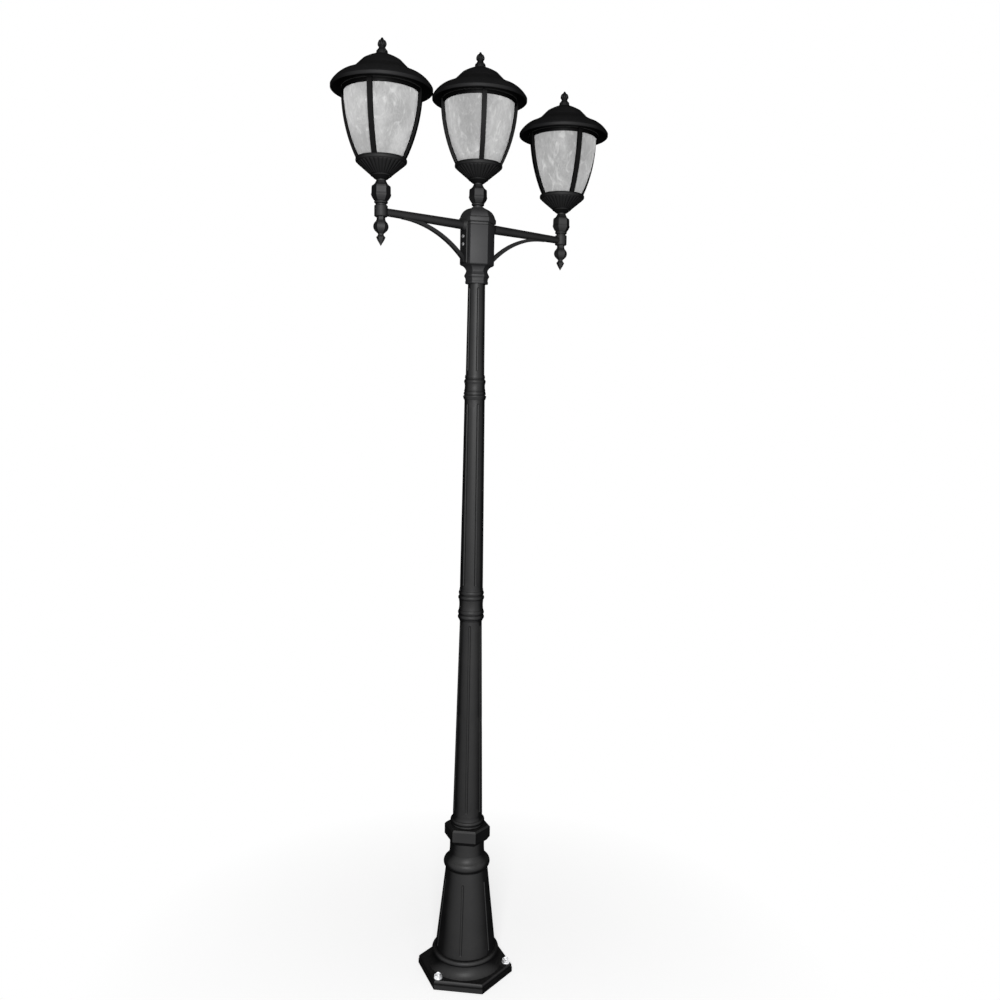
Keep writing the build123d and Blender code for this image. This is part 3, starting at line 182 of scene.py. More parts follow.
def mixed(tree, share, first, second):
    """Shader mix of two colours by a share."""
    mix = tree.nodes.new("ShaderNodeMix")
    mix.data_type = "RGBA"
    for place, value in (("Factor", share), (6, first), (7, second)):
        tree.links.new(value, mix.inputs[place])
    return mix.outputs[2]


def finish_group(name, sockets):
    """A shader group with its inputs, which puts out colour, roughness and height. Gives its two ends too."""
    group = bpy.data.node_groups.new(name, "ShaderNodeTree")
    for socket, kind, value in sockets:
        made = group.interface.new_socket(socket, in_out="INPUT", socket_type=kind)
        if value is not None:
            made.default_value = value
    for socket, kind in (
        ("Color", "NodeSocketColor"), ("Roughness", "NodeSocketFloat"), ("Height", "NodeSocketFloat"),
    ):
        group.interface.new_socket(socket, in_out="OUTPUT", socket_type=kind)
    return group, group.nodes.new("NodeGroupInput"), group.nodes.new("NodeGroupOutput")


def cast_skin_group():
    """Shader group of a powder-coated casting, pebbled, and lighter where it faces up: dust, and painted
    light from above.
    """
    group, source, target = finish_group("cast skin", (
        ("Vector", "NodeSocketVector", None), ("Tone", "NodeSocketColor", (0.014, 0.014, 0.0148, 1)),
        ("Dust tone", "NodeSocketColor", (0.085, 0.083, 0.08, 1)), ("Dust", "NodeSocketFloat", 0.3),
        ("Roughness", "NodeSocketFloat", 0.42), ("Grain", "NodeSocketFloat", 1.0),
    ))
    where, dust_and_top_light = source.outputs["Vector"], source.outputs["Dust"]
    peel = noise(group, where, 0.0014, 3, 0.55)
    pebble = noise(group, where, 0.008, 4, 0.6)
    clouds = noise(group, where, 0.06, 3)
    facing = group.nodes.new("ShaderNodeNewGeometry")
    split = group.nodes.new("ShaderNodeSeparateXYZ")
    group.links.new(facing.outputs["Normal"], split.inputs[0])
    # What faces up takes the lighter dust tone: partly dust, partly painted light from above.
    upward = spread(group, split.outputs["Z"], 0.35, 0.95)
    dust_and_light_on_top = calc(group, "MULTIPLY", upward, spread(group, pebble, 0.35, 0.65, 0.3, 1))
    dust_and_light_on_top = calc(group, "MULTIPLY", dust_and_light_on_top, dust_and_top_light)
    film = calc(group, "MULTIPLY", spread(group, clouds, 0.42, 0.72, 0, 0.3), dust_and_top_light)
    amount = calc(group, "MINIMUM", calc(group, "ADD", dust_and_light_on_top, film), 1)
    worn = calc(group, "ADD", source.outputs["Roughness"], calc(group, "MULTIPLY", amount, 0.3))
    height = calc(group, "ADD", calc(group, "MULTIPLY", peel, 0.35), pebble)
    for value, socket in (
        (mixed(group, amount, source.outputs["Tone"], source.outputs["Dust tone"]), "Color"),
        (calc(group, "ADD", worn, spread(group, clouds, 0.3, 0.7, -0.05, 0.06)), "Roughness"),
        (calc(group, "MULTIPLY", height, source.outputs["Grain"]), "Height"),
    ):
        group.links.new(value, target.inputs[socket])
    return group


def new_finish(name):
    """A new material. Gives it with its tree, its shader and the socket of the piece's own coordinates."""
    finish = bpy.data.materials.new(name)
    finish.use_nodes = True
    tree = finish.node_tree
    return finish, tree, tree.nodes["Principled BSDF"], tree.nodes.new("ShaderNodeTexCoord").outputs["Object"]


def covered(tree, shader, where, group, **values):
    """Feeds a shader's colour and roughness from a finish group with its own values, and gives the height."""
    skin = tree.nodes.new("ShaderNodeGroup")
    skin.node_tree = group
    set_sockets(skin, **values)
    tree.links.new(where, skin.inputs["Vector"])
    tree.links.new(skin.outputs["Color"], shader.inputs["Base Color"])
    tree.links.new(skin.outputs["Roughness"], shader.inputs["Roughness"])
    return skin.outputs["Height"]


def raised(tree, shader, height, relief, strength=1.0):
    """Lets a height socket raise the surface by the relief, in metres."""
    bump = tree.nodes.new("ShaderNodeBump")
    set_sockets(bump, Strength=strength, Distance=relief)
    tree.links.new(height, bump.inputs["Height"])
    tree.links.new(bump.outputs["Normal"], shader.inputs["Normal"])
    return bump


cast_skin = cast_skin_group()


def black_coat(name, tone=0.012, dust_and_top_light=0.3, grain=1.0, roughness=0.55, relief=0.00025, gloss=0.7, edge=0.0006):
    """Black powder coat over cast aluminium, glossy where it faces the eye. It rounds the casting's edges."""
    coat, tree, shader, where = new_finish(name)
    height = covered(
        tree, shader, where, cast_skin, Tone=(tone, tone, tone * 1.05, 1), Dust=dust_and_top_light, Grain=grain,
        Roughness=roughness,
    )
    bump = raised(tree, shader, height, relief, 0.6)
    soft = tree.nodes.new("ShaderNodeBevel")
    soft.samples = 4
    soft.inputs["Radius"].default_value = edge
    tree.links.new(soft.outputs["Normal"], bump.inputs["Normal"])
    facing = tree.nodes.new("ShaderNodeLayerWeight")
    facing.inputs["Blend"].default_value = 0.5
    shine = spread(tree, facing.outputs["Facing"], 0.03, 0.45, gloss, 0.0, ease="SMOOTHSTEP")
    tree.links.new(shine, shader.inputs["Coat Weight"])
    set_sockets(shader, Coat_Roughness=roughness, Specular_IOR_Level=0.0)
    return coat


def dress(piece, material, slot=None):
    """Gives a piece its finish, and names the record's slot for it."""
    piece.data.materials.clear()
    piece.data.materials.append(material)
    if slot:
        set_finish(piece, slot)


pedestal_coat = black_coat(
    "pedestal_coat", tone=0.01, dust_and_top_light=0.2, grain=1.7, roughness=0.46, relief=0.0004, gloss=0.8, edge=0.0014
)
dress(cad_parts["pedestal"], pedestal_coat)

# ---- Shafts and collars
# Three tapered aluminium tubes with narrow round-ended flutes, joined by turned-looking cast collars whose
# spigots sit in the tubes' bores. The coat is smoother here than on the pedestal.
shaft_coat = black_coat(
    "shaft_coat", tone=0.009, dust_and_top_light=0.2, grain=0.8, roughness=0.5, relief=0.0002, gloss=0.72
)
for tube in ("lower_shaft", "lower_collar", "middle_shaft", "upper_collar", "upper_shaft"):
    dress(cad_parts[tube], shaft_coat)

# ---- Hub and its cap
# A six-sided cast box on a moulded foot, closed by a six-sided dome that carries the middle lantern.
# Its flat sides are dressed smooth, and its coat is painted lighter than the shafts' to stand for the light
# that they catch.
HUB_EDGE = 0.0007               # radius that the coat leaves on the edges
CORNER_ANGLE = 32.0             # an edge that turns by less than this is shaded smooth, degrees


def nothing_selected():
    """Deselects everything, in object mode."""
    if bpy.context.object and bpy.context.object.mode != "OBJECT":
        bpy.ops.object.mode_set(mode="OBJECT")
    bpy.ops.object.select_all(action="DESELECT")


def only(piece):
    """Makes a piece the only one selected, and active."""
    nothing_selected()
    piece.select_set(True)
    bpy.context.view_layer.objects.active = piece


def smooth_copy(node, name, body, finish, slot, edge=0.0):
    """A copy of a CAD piece with its doubles merged, which replaces it. Its sharp edges may be rounded."""
    piece = bpy.data.objects.new(name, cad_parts[node].data.copy())
    bpy.context.scene.collection.objects.link(piece)
    only(piece)
    bpy.ops.object.mode_set(mode="EDIT")
    bpy.ops.mesh.select_all(action="SELECT")
    bpy.ops.mesh.customdata_custom_splitnormals_clear()
    bpy.ops.mesh.remove_doubles(threshold=0.00001)
    bpy.ops.mesh.dissolve_limited(angle_limit=radians(0.05))
    bpy.ops.object.mode_set(mode="OBJECT")
    if edge:
        soft = piece.modifiers.new("soft_edges", "BEVEL")
        soft.width = edge
        soft.segments = 2
        soft.limit_method = "ANGLE"
        soft.angle_limit = radians(CORNER_ANGLE)
        soft.use_clamp_overlap = False
        bpy.ops.object.modifier_apply(modifier=soft.name)
    bpy.ops.object.shade_smooth_by_angle(angle=radians(CORNER_ANGLE))
    dress(piece, finish, slot)
    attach(piece, body)
    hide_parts(node)


# The hub's tone, lighter than the other coats', is painted light: a lit copy of the black coat.
hub_coat_painted_light = black_coat("hub_coat_painted_light", tone=0.03, dust_and_top_light=0.25, grain=0.7, roughness=0.55, relief=0.00015, gloss=0.7)
for box in ("hub", "hub_cap"):
    smooth_copy(box, f"{box}_casting", "post", hub_coat_painted_light, "coated_aluminium", edge=HUB_EDGE)

# ---- Arms and pendants
# Each arm is one casting: wall plate, tapered arm, thin curved brace and upright socket. A six-sided pendant
# with an arrow tip is pushed into the socket from below.
arm_coat = black_coat("arm_coat", tone=0.014, dust_and_top_light=0.3, grain=1.0, gloss=0.6)
for side in ("left", "right"):
    dress(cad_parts[f"{side}_arm"], arm_coat)
    dress(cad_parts[f"{side}_pendant"], arm_coat)

# ---- Arm screws
# Zinc-plated pan-head screws with a cross recess hold each arm's wall plate to the hub, two to a plate.
# Years outdoors have dulled their plating.
MM = 0.001
SCREW_HEAD_RADIUS = 4.6 * MM
SCREW_HEAD_HEIGHT = 2.8 * MM
SCREW_DROPS = (38.0 * MM, 59.0 * MM)    # from the hub's top down to each pair
RECESS_WIDTH = 1.0 * MM
RECESS_LENGTH = 4.6 * MM
RECESS_DEPTH = 1.5 * MM
AXIS = 0.02 * MM                # radius that stands for a closed pole


def metal_finish_group():
    """Shader group of a plated or turned metal with a bright and a dull tone and fine wear."""
    group, source, target = finish_group("metal finish", (
        ("Vector", "NodeSocketVector", None), ("Bright", "NodeSocketColor", (0.8, 0.8, 0.8, 1)),
        ("Dull", "NodeSocketColor", (0.5, 0.5, 0.5, 1)), ("Roughness", "NodeSocketFloat", 0.35),
    ))
    spangle = group.nodes.new("ShaderNodeTexVoronoi")
    spangle.inputs["Scale"].default_value = 900
    group.links.new(source.outputs["Vector"], spangle.inputs["Vector"])
    bloom = spread(group, noise(group, source.outputs["Vector"], 1 / 240, 4), 0.35, 0.65)
    worn = calc(group, "ADD", calc(group, "MULTIPLY", bloom, 0.2), source.outputs["Roughness"])
    for value, socket in (
        (mixed(group, bloom, source.outputs["Bright"], source.outputs["Dull"]), "Color"),
        (worn, "Roughness"), (spangle.outputs["Distance"], "Height"),
    ):
        group.links.new(value, target.inputs[socket])
    return group


metal_finish = metal_finish_group()


def plated(name, bright, dull, roughness, thread=0.0, relief=0.00004):
    """Plated or turned metal. A thread pitch adds rings along the piece's height."""
    plating, tree, shader, where = new_finish(name)
    shader.inputs["Metallic"].default_value = 1.0
    height = covered(
        tree, shader, where, metal_finish, Bright=(*bright, 1), Dull=(*dull, 1), Roughness=roughness
    )
    if thread:
        rings = tree.nodes.new("ShaderNodeTexWave")
        rings.bands_direction = "Z"
        rings.inputs["Scale"].default_value = 0.314 / thread
        tree.links.new(where, rings.inputs["Vector"])
        height = rings.outputs["Fac"]
    raised(tree, shader, height, relief)
    return plating


def drawn_up(name, sides, profile):
    """A closed piece of revolution: a circle extruded and scaled from ring to ring of (radius, height)."""
    nothing_selected()
    radius, height = profile[0]
    bpy.ops.mesh.primitive_circle_add(vertices=sides, radius=radius, location=(0, 0, height))
    piece = bpy.context.object
    piece.name = name
    bpy.ops.object.mode_set(mode="EDIT")
    for (r0, z0), (r1, z1) in zip(profile, profile[1:]):
        bpy.ops.mesh.extrude_region_move(TRANSFORM_OT_translate={"value": (0, 0, z1 - z0)})
        bpy.ops.transform.resize(value=(r1 / r0, r1 / r0, 1), center_override=(0, 0, z1))
    bpy.ops.mesh.select_all(action="SELECT")
    bpy.ops.mesh.remove_doubles(threshold=0.000005)
    bpy.ops.mesh.normals_make_consistent(inside=False)
    bpy.ops.object.mode_set(mode="OBJECT")
    bpy.ops.object.transform_apply(location=True, rotation=True, scale=True)
    bpy.ops.object.shade_smooth_by_angle(angle=radians(30))
    return piece


def moved(piece, way):
    """Moves a piece's mesh, which leaves its object at the origin."""
    piece.data.transform(way)
    return piece


def copied(pattern, name, way):
    """A copy of a piece, with its own mesh, moved to its place."""
    piece = pattern.copy()
    piece.data = pattern.data.copy()
    piece.name = name
    bpy.context.scene.collection.objects.link(piece)
    return moved(piece, way)


def joined(name, pieces):
    """Joins pieces into one."""
    only(pieces[0])
    for piece in pieces:
        piece.select_set(True)
    bpy.ops.object.join()
    whole = bpy.context.object
    whole.name = name
    return whole


def cut_with(piece, cutter):
    """Cuts one piece's shape out of another and deletes the cutter."""
    only(piece)
    saw = piece.modifiers.new("cut", "BOOLEAN")
    saw.operation = "DIFFERENCE"
    saw.solver = "EXACT"
    saw.object = cutter
    bpy.ops.object.modifier_apply(modifier=saw.name)
    bpy.data.objects.remove(cutter)


dulled_zinc = plated("dulled_zinc", (0.36, 0.36, 0.37), (0.2, 0.2, 0.2), 0.45)
screw_head = drawn_up("screw_head", 24, [
    (AXIS, 0), (SCREW_HEAD_RADIUS, 0), (SCREW_HEAD_RADIUS, 0.9 * MM), (0.92 * SCREW_HEAD_RADIUS, 1.7 * MM),
    (0.72 * SCREW_HEAD_RADIUS, 2.4 * MM), (0.4 * SCREW_HEAD_RADIUS, SCREW_HEAD_HEIGHT),
    (AXIS, SCREW_HEAD_HEIGHT),
])
for arm_of_cross in ((RECESS_LENGTH, RECESS_WIDTH), (RECESS_WIDTH, RECESS_LENGTH)):
    nothing_selected()
    bpy.ops.mesh.primitive_cube_add(size=1, location=(0, 0, SCREW_HEAD_HEIGHT))
    recess = bpy.context.object
    recess.scale = (*arm_of_cross, 2 * RECESS_DEPTH)
    bpy.ops.object.transform_apply(location=True, rotation=True, scale=True)
    cut_with(screw_head, recess)
hub_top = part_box("hub")[1][2]
plate_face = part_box("arm_screws")[1][0] - SCREW_HEAD_HEIGHT
heads = []
for drop in SCREW_DROPS:
    for turn in (0, pi):
        on_plate = Matrix.Translation((plate_face, 0, hub_top - drop)) @ Matrix.Rotation(pi / 2, 4, "Y")
        heads.append(copied(screw_head, "screw_head", Matrix.Rotation(turn, 4, "Z") @ on_plate))
bpy.data.objects.remove(screw_head)
arm_screws = joined("arm_screw_heads", heads)
dress(arm_screws, dulled_zinc, "zinc_steel")
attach(arm_screws, "post")
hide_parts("arm_screws")

# ---- Anchor fasteners
# Three zinc-plated steel studs come up from the foundation through alternate corners of the foot. A washer
# and a hexagon nut on each hold the post down. Only the studs' ends are modelled: they are threaded, stand
# two turns above the nuts and are cupped.
STUD_RADIUS = 6.0 * MM
STUD_SUNK = 8.0 * MM            # stud's modelled foot below the washers
CUP_RADIUS = 4.8 * MM
CUP_RIM, CUP_MIDDLE = 1.3 * MM, 1.5 * MM    # heights of the cup's floor above the nut
THREAD_PITCH = 1.75 * MM
THREAD_DEPTH = 0.5 * MM
CREST_COUNT = 3
ANCHOR_COUNT = 3
ANCHOR_CIRCLE = 121.5 * MM
ANCHOR_TURN = 74.3              # turn of the first anchor from the right arm, degrees
NUT_EDGE = 0.3 * MM

bright_zinc = plated("bright_zinc", (0.93, 0.93, 0.94), (0.84, 0.85, 0.86), 0.45)
for kind in ("washers", "nuts"):
    smooth_copy(f"anchor_{kind}", f"zinc_{kind}", "post", bright_zinc, "zinc_steel", edge=NUT_EDGE)
nut_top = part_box("anchor_nuts")[1][2]
stud_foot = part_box("anchor_washers")[0][2] - STUD_SUNK
stud_profile = [(AXIS, stud_foot), (STUD_RADIUS, stud_foot), (STUD_RADIUS, nut_top - THREAD_PITCH)]
for ring in range(CREST_COUNT):
    crest = nut_top + ring * THREAD_PITCH
    stud_profile += [(STUD_RADIUS - THREAD_DEPTH, crest - THREAD_PITCH / 2), (STUD_RADIUS, crest)]
stud_profile += [(CUP_RADIUS, nut_top + CUP_RIM), (AXIS, nut_top + CUP_MIDDLE)]
stud_ends = []
for k in range(ANCHOR_COUNT):
    stud = drawn_up(f"stud_{k}", 24, stud_profile)
    angle = radians(ANCHOR_TURN + 360 * k / ANCHOR_COUNT)
    on_circle = Matrix.Translation((ANCHOR_CIRCLE * cos(angle), ANCHOR_CIRCLE * sin(angle), 0))
    stud_ends.append(moved(stud, on_circle))
studs = joined("anchor_stud_ends", stud_ends)
dress(studs, bright_zinc, "zinc_steel")
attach(studs, "post")


# ---- Terminal block and earth screw
# Inside the hub, a pale moulded terminal block joins the supply to the three lanterns' wires. A zinc-plated
# screw in the pedestal's wall takes the earth wire.
def moulded(name, colour, roughness, grain=0.0006, relief=0.00003, gloss=0.5):
    """Plain moulded or fired material with a faint mottle."""
    stuff, tree, shader, where = new_finish(name)
    shader.inputs["Specular IOR Level"].default_value = gloss
    mottle = noise(tree, where, grain, 4)
    ramp = tree.nodes.new("ShaderNodeValToRGB")
    for stop, place, tone in zip(ramp.color_ramp.elements, (0.3, 0.7), (0.82, 1)):
        stop.position = place
        stop.color = (*(tone * c for c in colour), 1)
    tree.links.new(mottle, ramp.inputs["Fac"])
    tree.links.new(ramp.outputs["Color"], shader.inputs["Base Color"])
    tree.links.new(spread(tree, mottle, 0, 1, roughness - 0.06, roughness + 0.06), shader.inputs["Roughness"])
    raised(tree, shader, mottle, relief)
    return stuff


dress(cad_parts["terminal_block"], moulded("terminal_moulding", (0.72, 0.7, 0.64), 0.45))
dress(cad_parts["earth_screw"], bright_zinc)

# ---- Couplers, stems and stem nuts
# A six-sided cast knob stands on each socket and on the cap. A hollow brass stem runs up through it, and a
# brass nut on the stem holds the bowl down so that the lantern can be turned.
SIDES = ("left", "middle", "right")
BRASS, OLD_BRASS = (0.72, 0.52, 0.24), (0.5, 0.34, 0.15)
STEM_PITCH = 1.0 * MM

knob_coat = black_coat("knob_coat", tone=0.012, dust_and_top_light=0.25, grain=0.9, gloss=0.7)
brass = plated("brass", BRASS, OLD_BRASS, 0.3)
threaded_brass = plated("threaded_brass", BRASS, OLD_BRASS, 0.32, thread=STEM_PITCH, relief=0.0004)
seat = {}
for side in SIDES:
    low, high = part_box(f"{side}_coupler")
    seat[side] = Matrix.Translation(((low[0] + high[0]) / 2, 0, low[2]))
    dress(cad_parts[f"{side}_coupler"], knob_coat)
    dress(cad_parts[f"{side}_stem"], threaded_brass)
    dress(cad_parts[f"{side}_stem_nut"], brass)

# ---- Lamp holders and bulbs
# A glazed ceramic holder screws on the stem's end. The bulb is a frosted glass envelope on a plated screw
# cap, blown in one and cemented to the cap, and it turns in the holder.
BULB_CAP_RADIUS = 13.2 * MM
BULB_CAP_LENGTH = 24.0 * MM
BULB_NECK_RADIUS = 14.0 * MM
BULB_NECK_RISE = 6.0 * MM
BULB_RADIUS = 30.0 * MM
BULB_LENGTH = 108.0 * MM
BULB_PITCH = 3.6 * MM
BULB_THREAD_DEPTH = 1.1 * MM


def set_on_seats(pattern, kind, body_kind, node_kind=None):
    """Copies a piece to the three lanterns, where each rides on a body and may replace a CAD piece."""
    for side in SIDES:
        piece = copied(pattern, f"{side}_{kind}", seat[side])
        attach(piece, f"{side}_{body_kind}")
        if node_kind:
            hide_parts(f"{side}_{node_kind}")
        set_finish(piece, pattern["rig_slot"])
    bpy.data.objects.remove(pattern)


ceramic = moulded("glazed_ceramic", (0.82, 0.81, 0.77), 0.16, grain=0.004, relief=0.00002)
for side in SIDES:
    smooth_copy(f"{side}_lamp_holder", f"{side}_ceramic_holder", "post", ceramic, "ceramic")

bulb_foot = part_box("middle_bulb")[0][2] - seat["middle"].translation.z
cap_top = bulb_foot + BULB_CAP_LENGTH
cap_profile = [(AXIS, bulb_foot), (5.0 * MM, bulb_foot), (9.0 * MM, bulb_foot + 3 * MM)]
level = bulb_foot + 5 * MM
while level + BULB_PITCH < cap_top - 2 * MM:
    cap_profile += [(BULB_CAP_RADIUS, level), (BULB_CAP_RADIUS - BULB_THREAD_DEPTH, level + BULB_PITCH / 2)]
    level += BULB_PITCH
cap_profile += [(BULB_CAP_RADIUS, cap_top - 3 * MM), (BULB_CAP_RADIUS, cap_top), (AXIS, cap_top)]
bulb_cap = drawn_up("bulb_cap", 40, cap_profile)
dress(bulb_cap, bright_zinc, "zinc_steel")
set_on_seats(bulb_cap, "bulb_cap", "bulb_unit")

frosted = moulded("frosted_bulb", (0.86, 0.85, 0.82), 0.4, grain=0.01)
frosted.node_tree.nodes["Principled BSDF"].inputs["Transmission Weight"].default_value = 0.35
neck_top = cap_top + BULB_NECK_RISE
widest = bulb_foot + BULB_LENGTH - BULB_RADIUS
envelope_profile = [(AXIS, cap_top), (BULB_CAP_RADIUS - 0.4 * MM, cap_top), (BULB_NECK_RADIUS, neck_top)]
for step in range(1, 9):
    share = step / 8
    swell = (BULB_RADIUS - BULB_NECK_RADIUS) * (1 - cos(pi * share)) / 2
    envelope_profile.append((BULB_NECK_RADIUS + swell, neck_top + (widest - neck_top) * share))
for step in range(1, 10):
    lean = step / 9 * pi / 2
    envelope_profile.append((max(BULB_RADIUS * cos(lean), AXIS), widest + BULB_RADIUS * sin(lean)))
envelope = drawn_up("bulb_envelope", 48, envelope_profile)
dress(envelope, frosted, "bulb_glass")
set_on_seats(envelope, "bulb_envelope", "bulb_unit", "bulb")

# ---- Bowls
# Cone-shaped castings with rounded reeds cast on their outside, a fine ring near the foot and a plain rim
# that carries the glass and the cage. Each turns on its brass stem.
BOWL_FOOT = 63.3 * MM           # heights are counted from the seat under the coupler
BOWL_FLOOR = 70.3 * MM
BOWL_RIM = 104.0 * MM
BOWL_TOP = 114.5 * MM
BOWL_BORE = 6.56 * MM
LEDGE = 106.5 * MM
LEDGE_RADIUS = 45.0 * MM
RECESS_RADIUS = 55.8 * MM
REED_COUNT = 32
REED_FOOT = (29.5 * MM, 76.2 * MM)      # radius and height of a reed's ends on the cone
REED_HEAD = (58.0 * MM, 100.6 * MM)
REED_FOOT_WIDTH, REED_HEAD_WIDTH = 2.5 * MM, 4.9 * MM
REED_SWELL = 0.24               # a reed's thickness as a share of its width


def tapered_end(piece, way, steps):
    """Rounds off a piece's flat top (way 1) or bottom (way -1): extrudes it by steps of (rise, shrink)."""
    only(piece)
    bpy.ops.object.mode_set(mode="EDIT")
    bpy.ops.mesh.select_all(action="DESELECT")
    bpy.ops.object.mode_set(mode="OBJECT")
    for face in piece.data.polygons:
        face.select = way * face.normal.z > 0.9
    bpy.ops.object.mode_set(mode="EDIT")
    for rise, shrink in steps:
        bpy.ops.mesh.extrude_region_move(TRANSFORM_OT_translate={"value": (0, 0, way * rise)})
        bpy.ops.transform.resize(value=(shrink, shrink, 1))
    bpy.ops.object.mode_set(mode="OBJECT")


def ringed(piece, count, crease):
    """Repeats a piece round the upright axis. An edge that turns by less than the crease is shaded smooth."""
    only(piece)
    bpy.ops.object.mode_set(mode="EDIT")
    bpy.ops.mesh.select_all(action="SELECT")
    bpy.ops.mesh.normals_make_consistent(inside=False)
    turn = 2 * pi * (count - 1) / count
    bpy.ops.mesh.spin(steps=count - 1, dupli=True, angle=turn, center=(0, 0, 0), axis=(0, 0, 1))
    bpy.ops.object.mode_set(mode="OBJECT")
    bpy.ops.object.shade_smooth_by_angle(angle=radians(crease))


bowl_coat = black_coat("bowl_coat", tone=0.01, dust_and_top_light=0.15, grain=0.9, gloss=0.45)
bowl = drawn_up("bowl", 96, [
    (BOWL_BORE, BOWL_FOOT), (12.6 * MM, BOWL_FOOT), (16.5 * MM, 64.4 * MM), (24.0 * MM, 70.6 * MM),
    (25.2 * MM, 71.0 * MM), (26.6 * MM, 71.9 * MM), (27.0 * MM, 73.0 * MM), (26.4 * MM, 74.2 * MM),
    (26.4 * MM, 75.0 * MM), (59.4 * MM, 102.8 * MM), (61.2 * MM, 102.8 * MM), (61.6 * MM, BOWL_RIM),
    (63.6 * MM, 104.3 * MM), (64.7 * MM, 106.2 * MM), (65.0 * MM, 109.0 * MM), (64.5 * MM, 112.0 * MM),
    (63.4 * MM, 114.0 * MM), (62.4 * MM, BOWL_TOP), (RECESS_RADIUS, BOWL_TOP), (RECESS_RADIUS, LEDGE),
    (LEDGE_RADIUS, LEDGE), (LEDGE_RADIUS, LEDGE - 3 * MM), (17.0 * MM, BOWL_FLOOR), (BOWL_BORE, BOWL_FLOOR),
    (BOWL_BORE, BOWL_FOOT),
])
reed_out, reed_up = REED_HEAD[0] - REED_FOOT[0], REED_HEAD[1] - REED_FOOT[1]
reed_run = hypot(reed_out, reed_up)
nothing_selected()
bpy.ops.mesh.primitive_cone_add(
    vertices=12, radius1=REED_FOOT_WIDTH, radius2=REED_HEAD_WIDTH, depth=reed_run,
    location=(0, 0, reed_run / 2),
)
reed = bpy.context.object
reed.name = "reed"
bpy.ops.object.transform_apply(location=True, rotation=True, scale=True)
for way, width in ((1, REED_HEAD_WIDTH), (-1, REED_FOOT_WIDTH)):
    tapered_end(reed, way, ((0.45 * width, 0.86), (0.33 * width, 0.68), (0.15 * width, 0.3)))
reed_lean = Matrix.Rotation(atan2(reed_out, reed_up), 4, "Y")
on_cone = Matrix.Translation((REED_FOOT[0], 0, REED_FOOT[1])) @ reed_lean
moved(reed, on_cone @ Matrix.Diagonal((REED_SWELL, 1, 1, 1)))
ringed(reed, REED_COUNT, 50)
bowl = joined("bowl", [bowl, reed])
dress(bowl, bowl_coat, "coated_aluminium")
set_on_seats(bowl, "reeded_bowl", "lantern", "bowl")

# ---- Glasses and their seats
# One barrel of clouded glass in each lantern, white wisps pressed into it and its face softly rippled. It
# stands on a rubber ring on the bowl's ledge.
GLASS_FOOT, GLASS_TOP = 109.0 * MM, 276.0 * MM
BARREL = ((64.3 * MM, 114.5 * MM), (91.0 * MM, 184.2 * MM), (104.6 * MM, 280.0 * MM))  # outside of the ribs
GLASS_INSET = 10.0 * MM         # glass inside the ribs' outside
GLASS_WALL = 4.0 * MM
GLASS_RINGS = 24


def barrel_radius(height):
    """Radius of the cage's barrel at a height: a circle through three points."""
    (x1, z1), (x2, z2), (x3, z3) = BARREL
    turn = 2 * (x1 * (z2 - z3) + x2 * (z3 - z1) + x3 * (z1 - z2))
    s1, s2, s3 = x1 * x1 + z1 * z1, x2 * x2 + z2 * z2, x3 * x3 + z3 * z3
    cx = (s1 * (z2 - z3) + s2 * (z3 - z1) + s3 * (z1 - z2)) / turn
    cz = (s1 * (x3 - x2) + s2 * (x1 - x3) + s3 * (x2 - x1)) / turn
    return cx + sqrt((x1 - cx) ** 2 + (z1 - cz) ** 2 - (height - cz) ** 2)


def clouded_glass():
    """Translucent white-grey glass with wisps, fine worm-like ripples and broad clouds."""
    glass, tree, shader, where = new_finish("clouded_glass")
    set_sockets(
        shader, Transmission_Weight=0.12, IOR=1.5, Diffuse_Roughness=1.0, Specular_IOR_Level=0.3,
        Sheen_Weight=0.35, Sheen_Roughness=0.4,
    )
    slant = tree.nodes.new("ShaderNodeMapping")
    set_sockets(slant, Rotation=(radians(25), radians(20), 0), Scale=(1, 1, 0.55))
    tree.links.new(where, slant.inputs["Vector"])
    along = slant.outputs["Vector"]
    clouds = noise(tree, along, 0.075, 2, warp=0.6)
    wisps = noise(tree, along, 0.03, 5, warp=2.4)
    ripples = noise(tree, along, 0.011, 4, warp=2.0)
    shade = spread(tree, clouds, 0.35, 0.66, 0.0, 0.32)
    shade = calc(tree, "ADD", shade, spread(tree, wisps, 0.55, 0.72, 0.0, 0.42))
    shade = calc(tree, "ADD", shade, spread(tree, ripples, 0.36, 0.64, -0.08, 0.14))
    tone = tree.nodes.new("ShaderNodeValToRGB")
    tone.color_ramp.elements[0].color = (0.46, 0.46, 0.46, 1)
    tone.color_ramp.elements[1].color = (0.92, 0.92, 0.915, 1)
    tree.links.new(shade, tone.inputs["Fac"])
    tree.links.new(tone.outputs["Color"], shader.inputs["Base Color"])
    tree.links.new(spread(tree, ripples, 0.3, 0.7, 0.46, 0.6), shader.inputs["Roughness"])
    raised(tree, shader, calc(tree, "ADD", ripples, wisps), 0.0012, 0.6)
    return glass


outside_wall, inside_wall = [], []
for ring in range(GLASS_RINGS + 1):
    height = GLASS_FOOT + (GLASS_TOP - GLASS_FOOT) * ring / GLASS_RINGS
    radius = barrel_radius(height) - GLASS_INSET
    outside_wall.append((radius, height))
    inside_wall.append((radius - GLASS_WALL, height))
glass = drawn_up("glass", 96, outside_wall + inside_wall[::-1] + outside_wall[:1])
dress(glass, clouded_glass(), "clouded_glass")
set_on_seats(glass, "clouded_glass", "lantern", "glass")

rubber = moulded("black_rubber", (0.02, 0.02, 0.02), 0.7, grain=0.001, gloss=0.3)
for side in SIDES:
    for ring in ("glass_seat", "roof_ring"):
        dress(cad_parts[f"{side}_{ring}"], rubber)
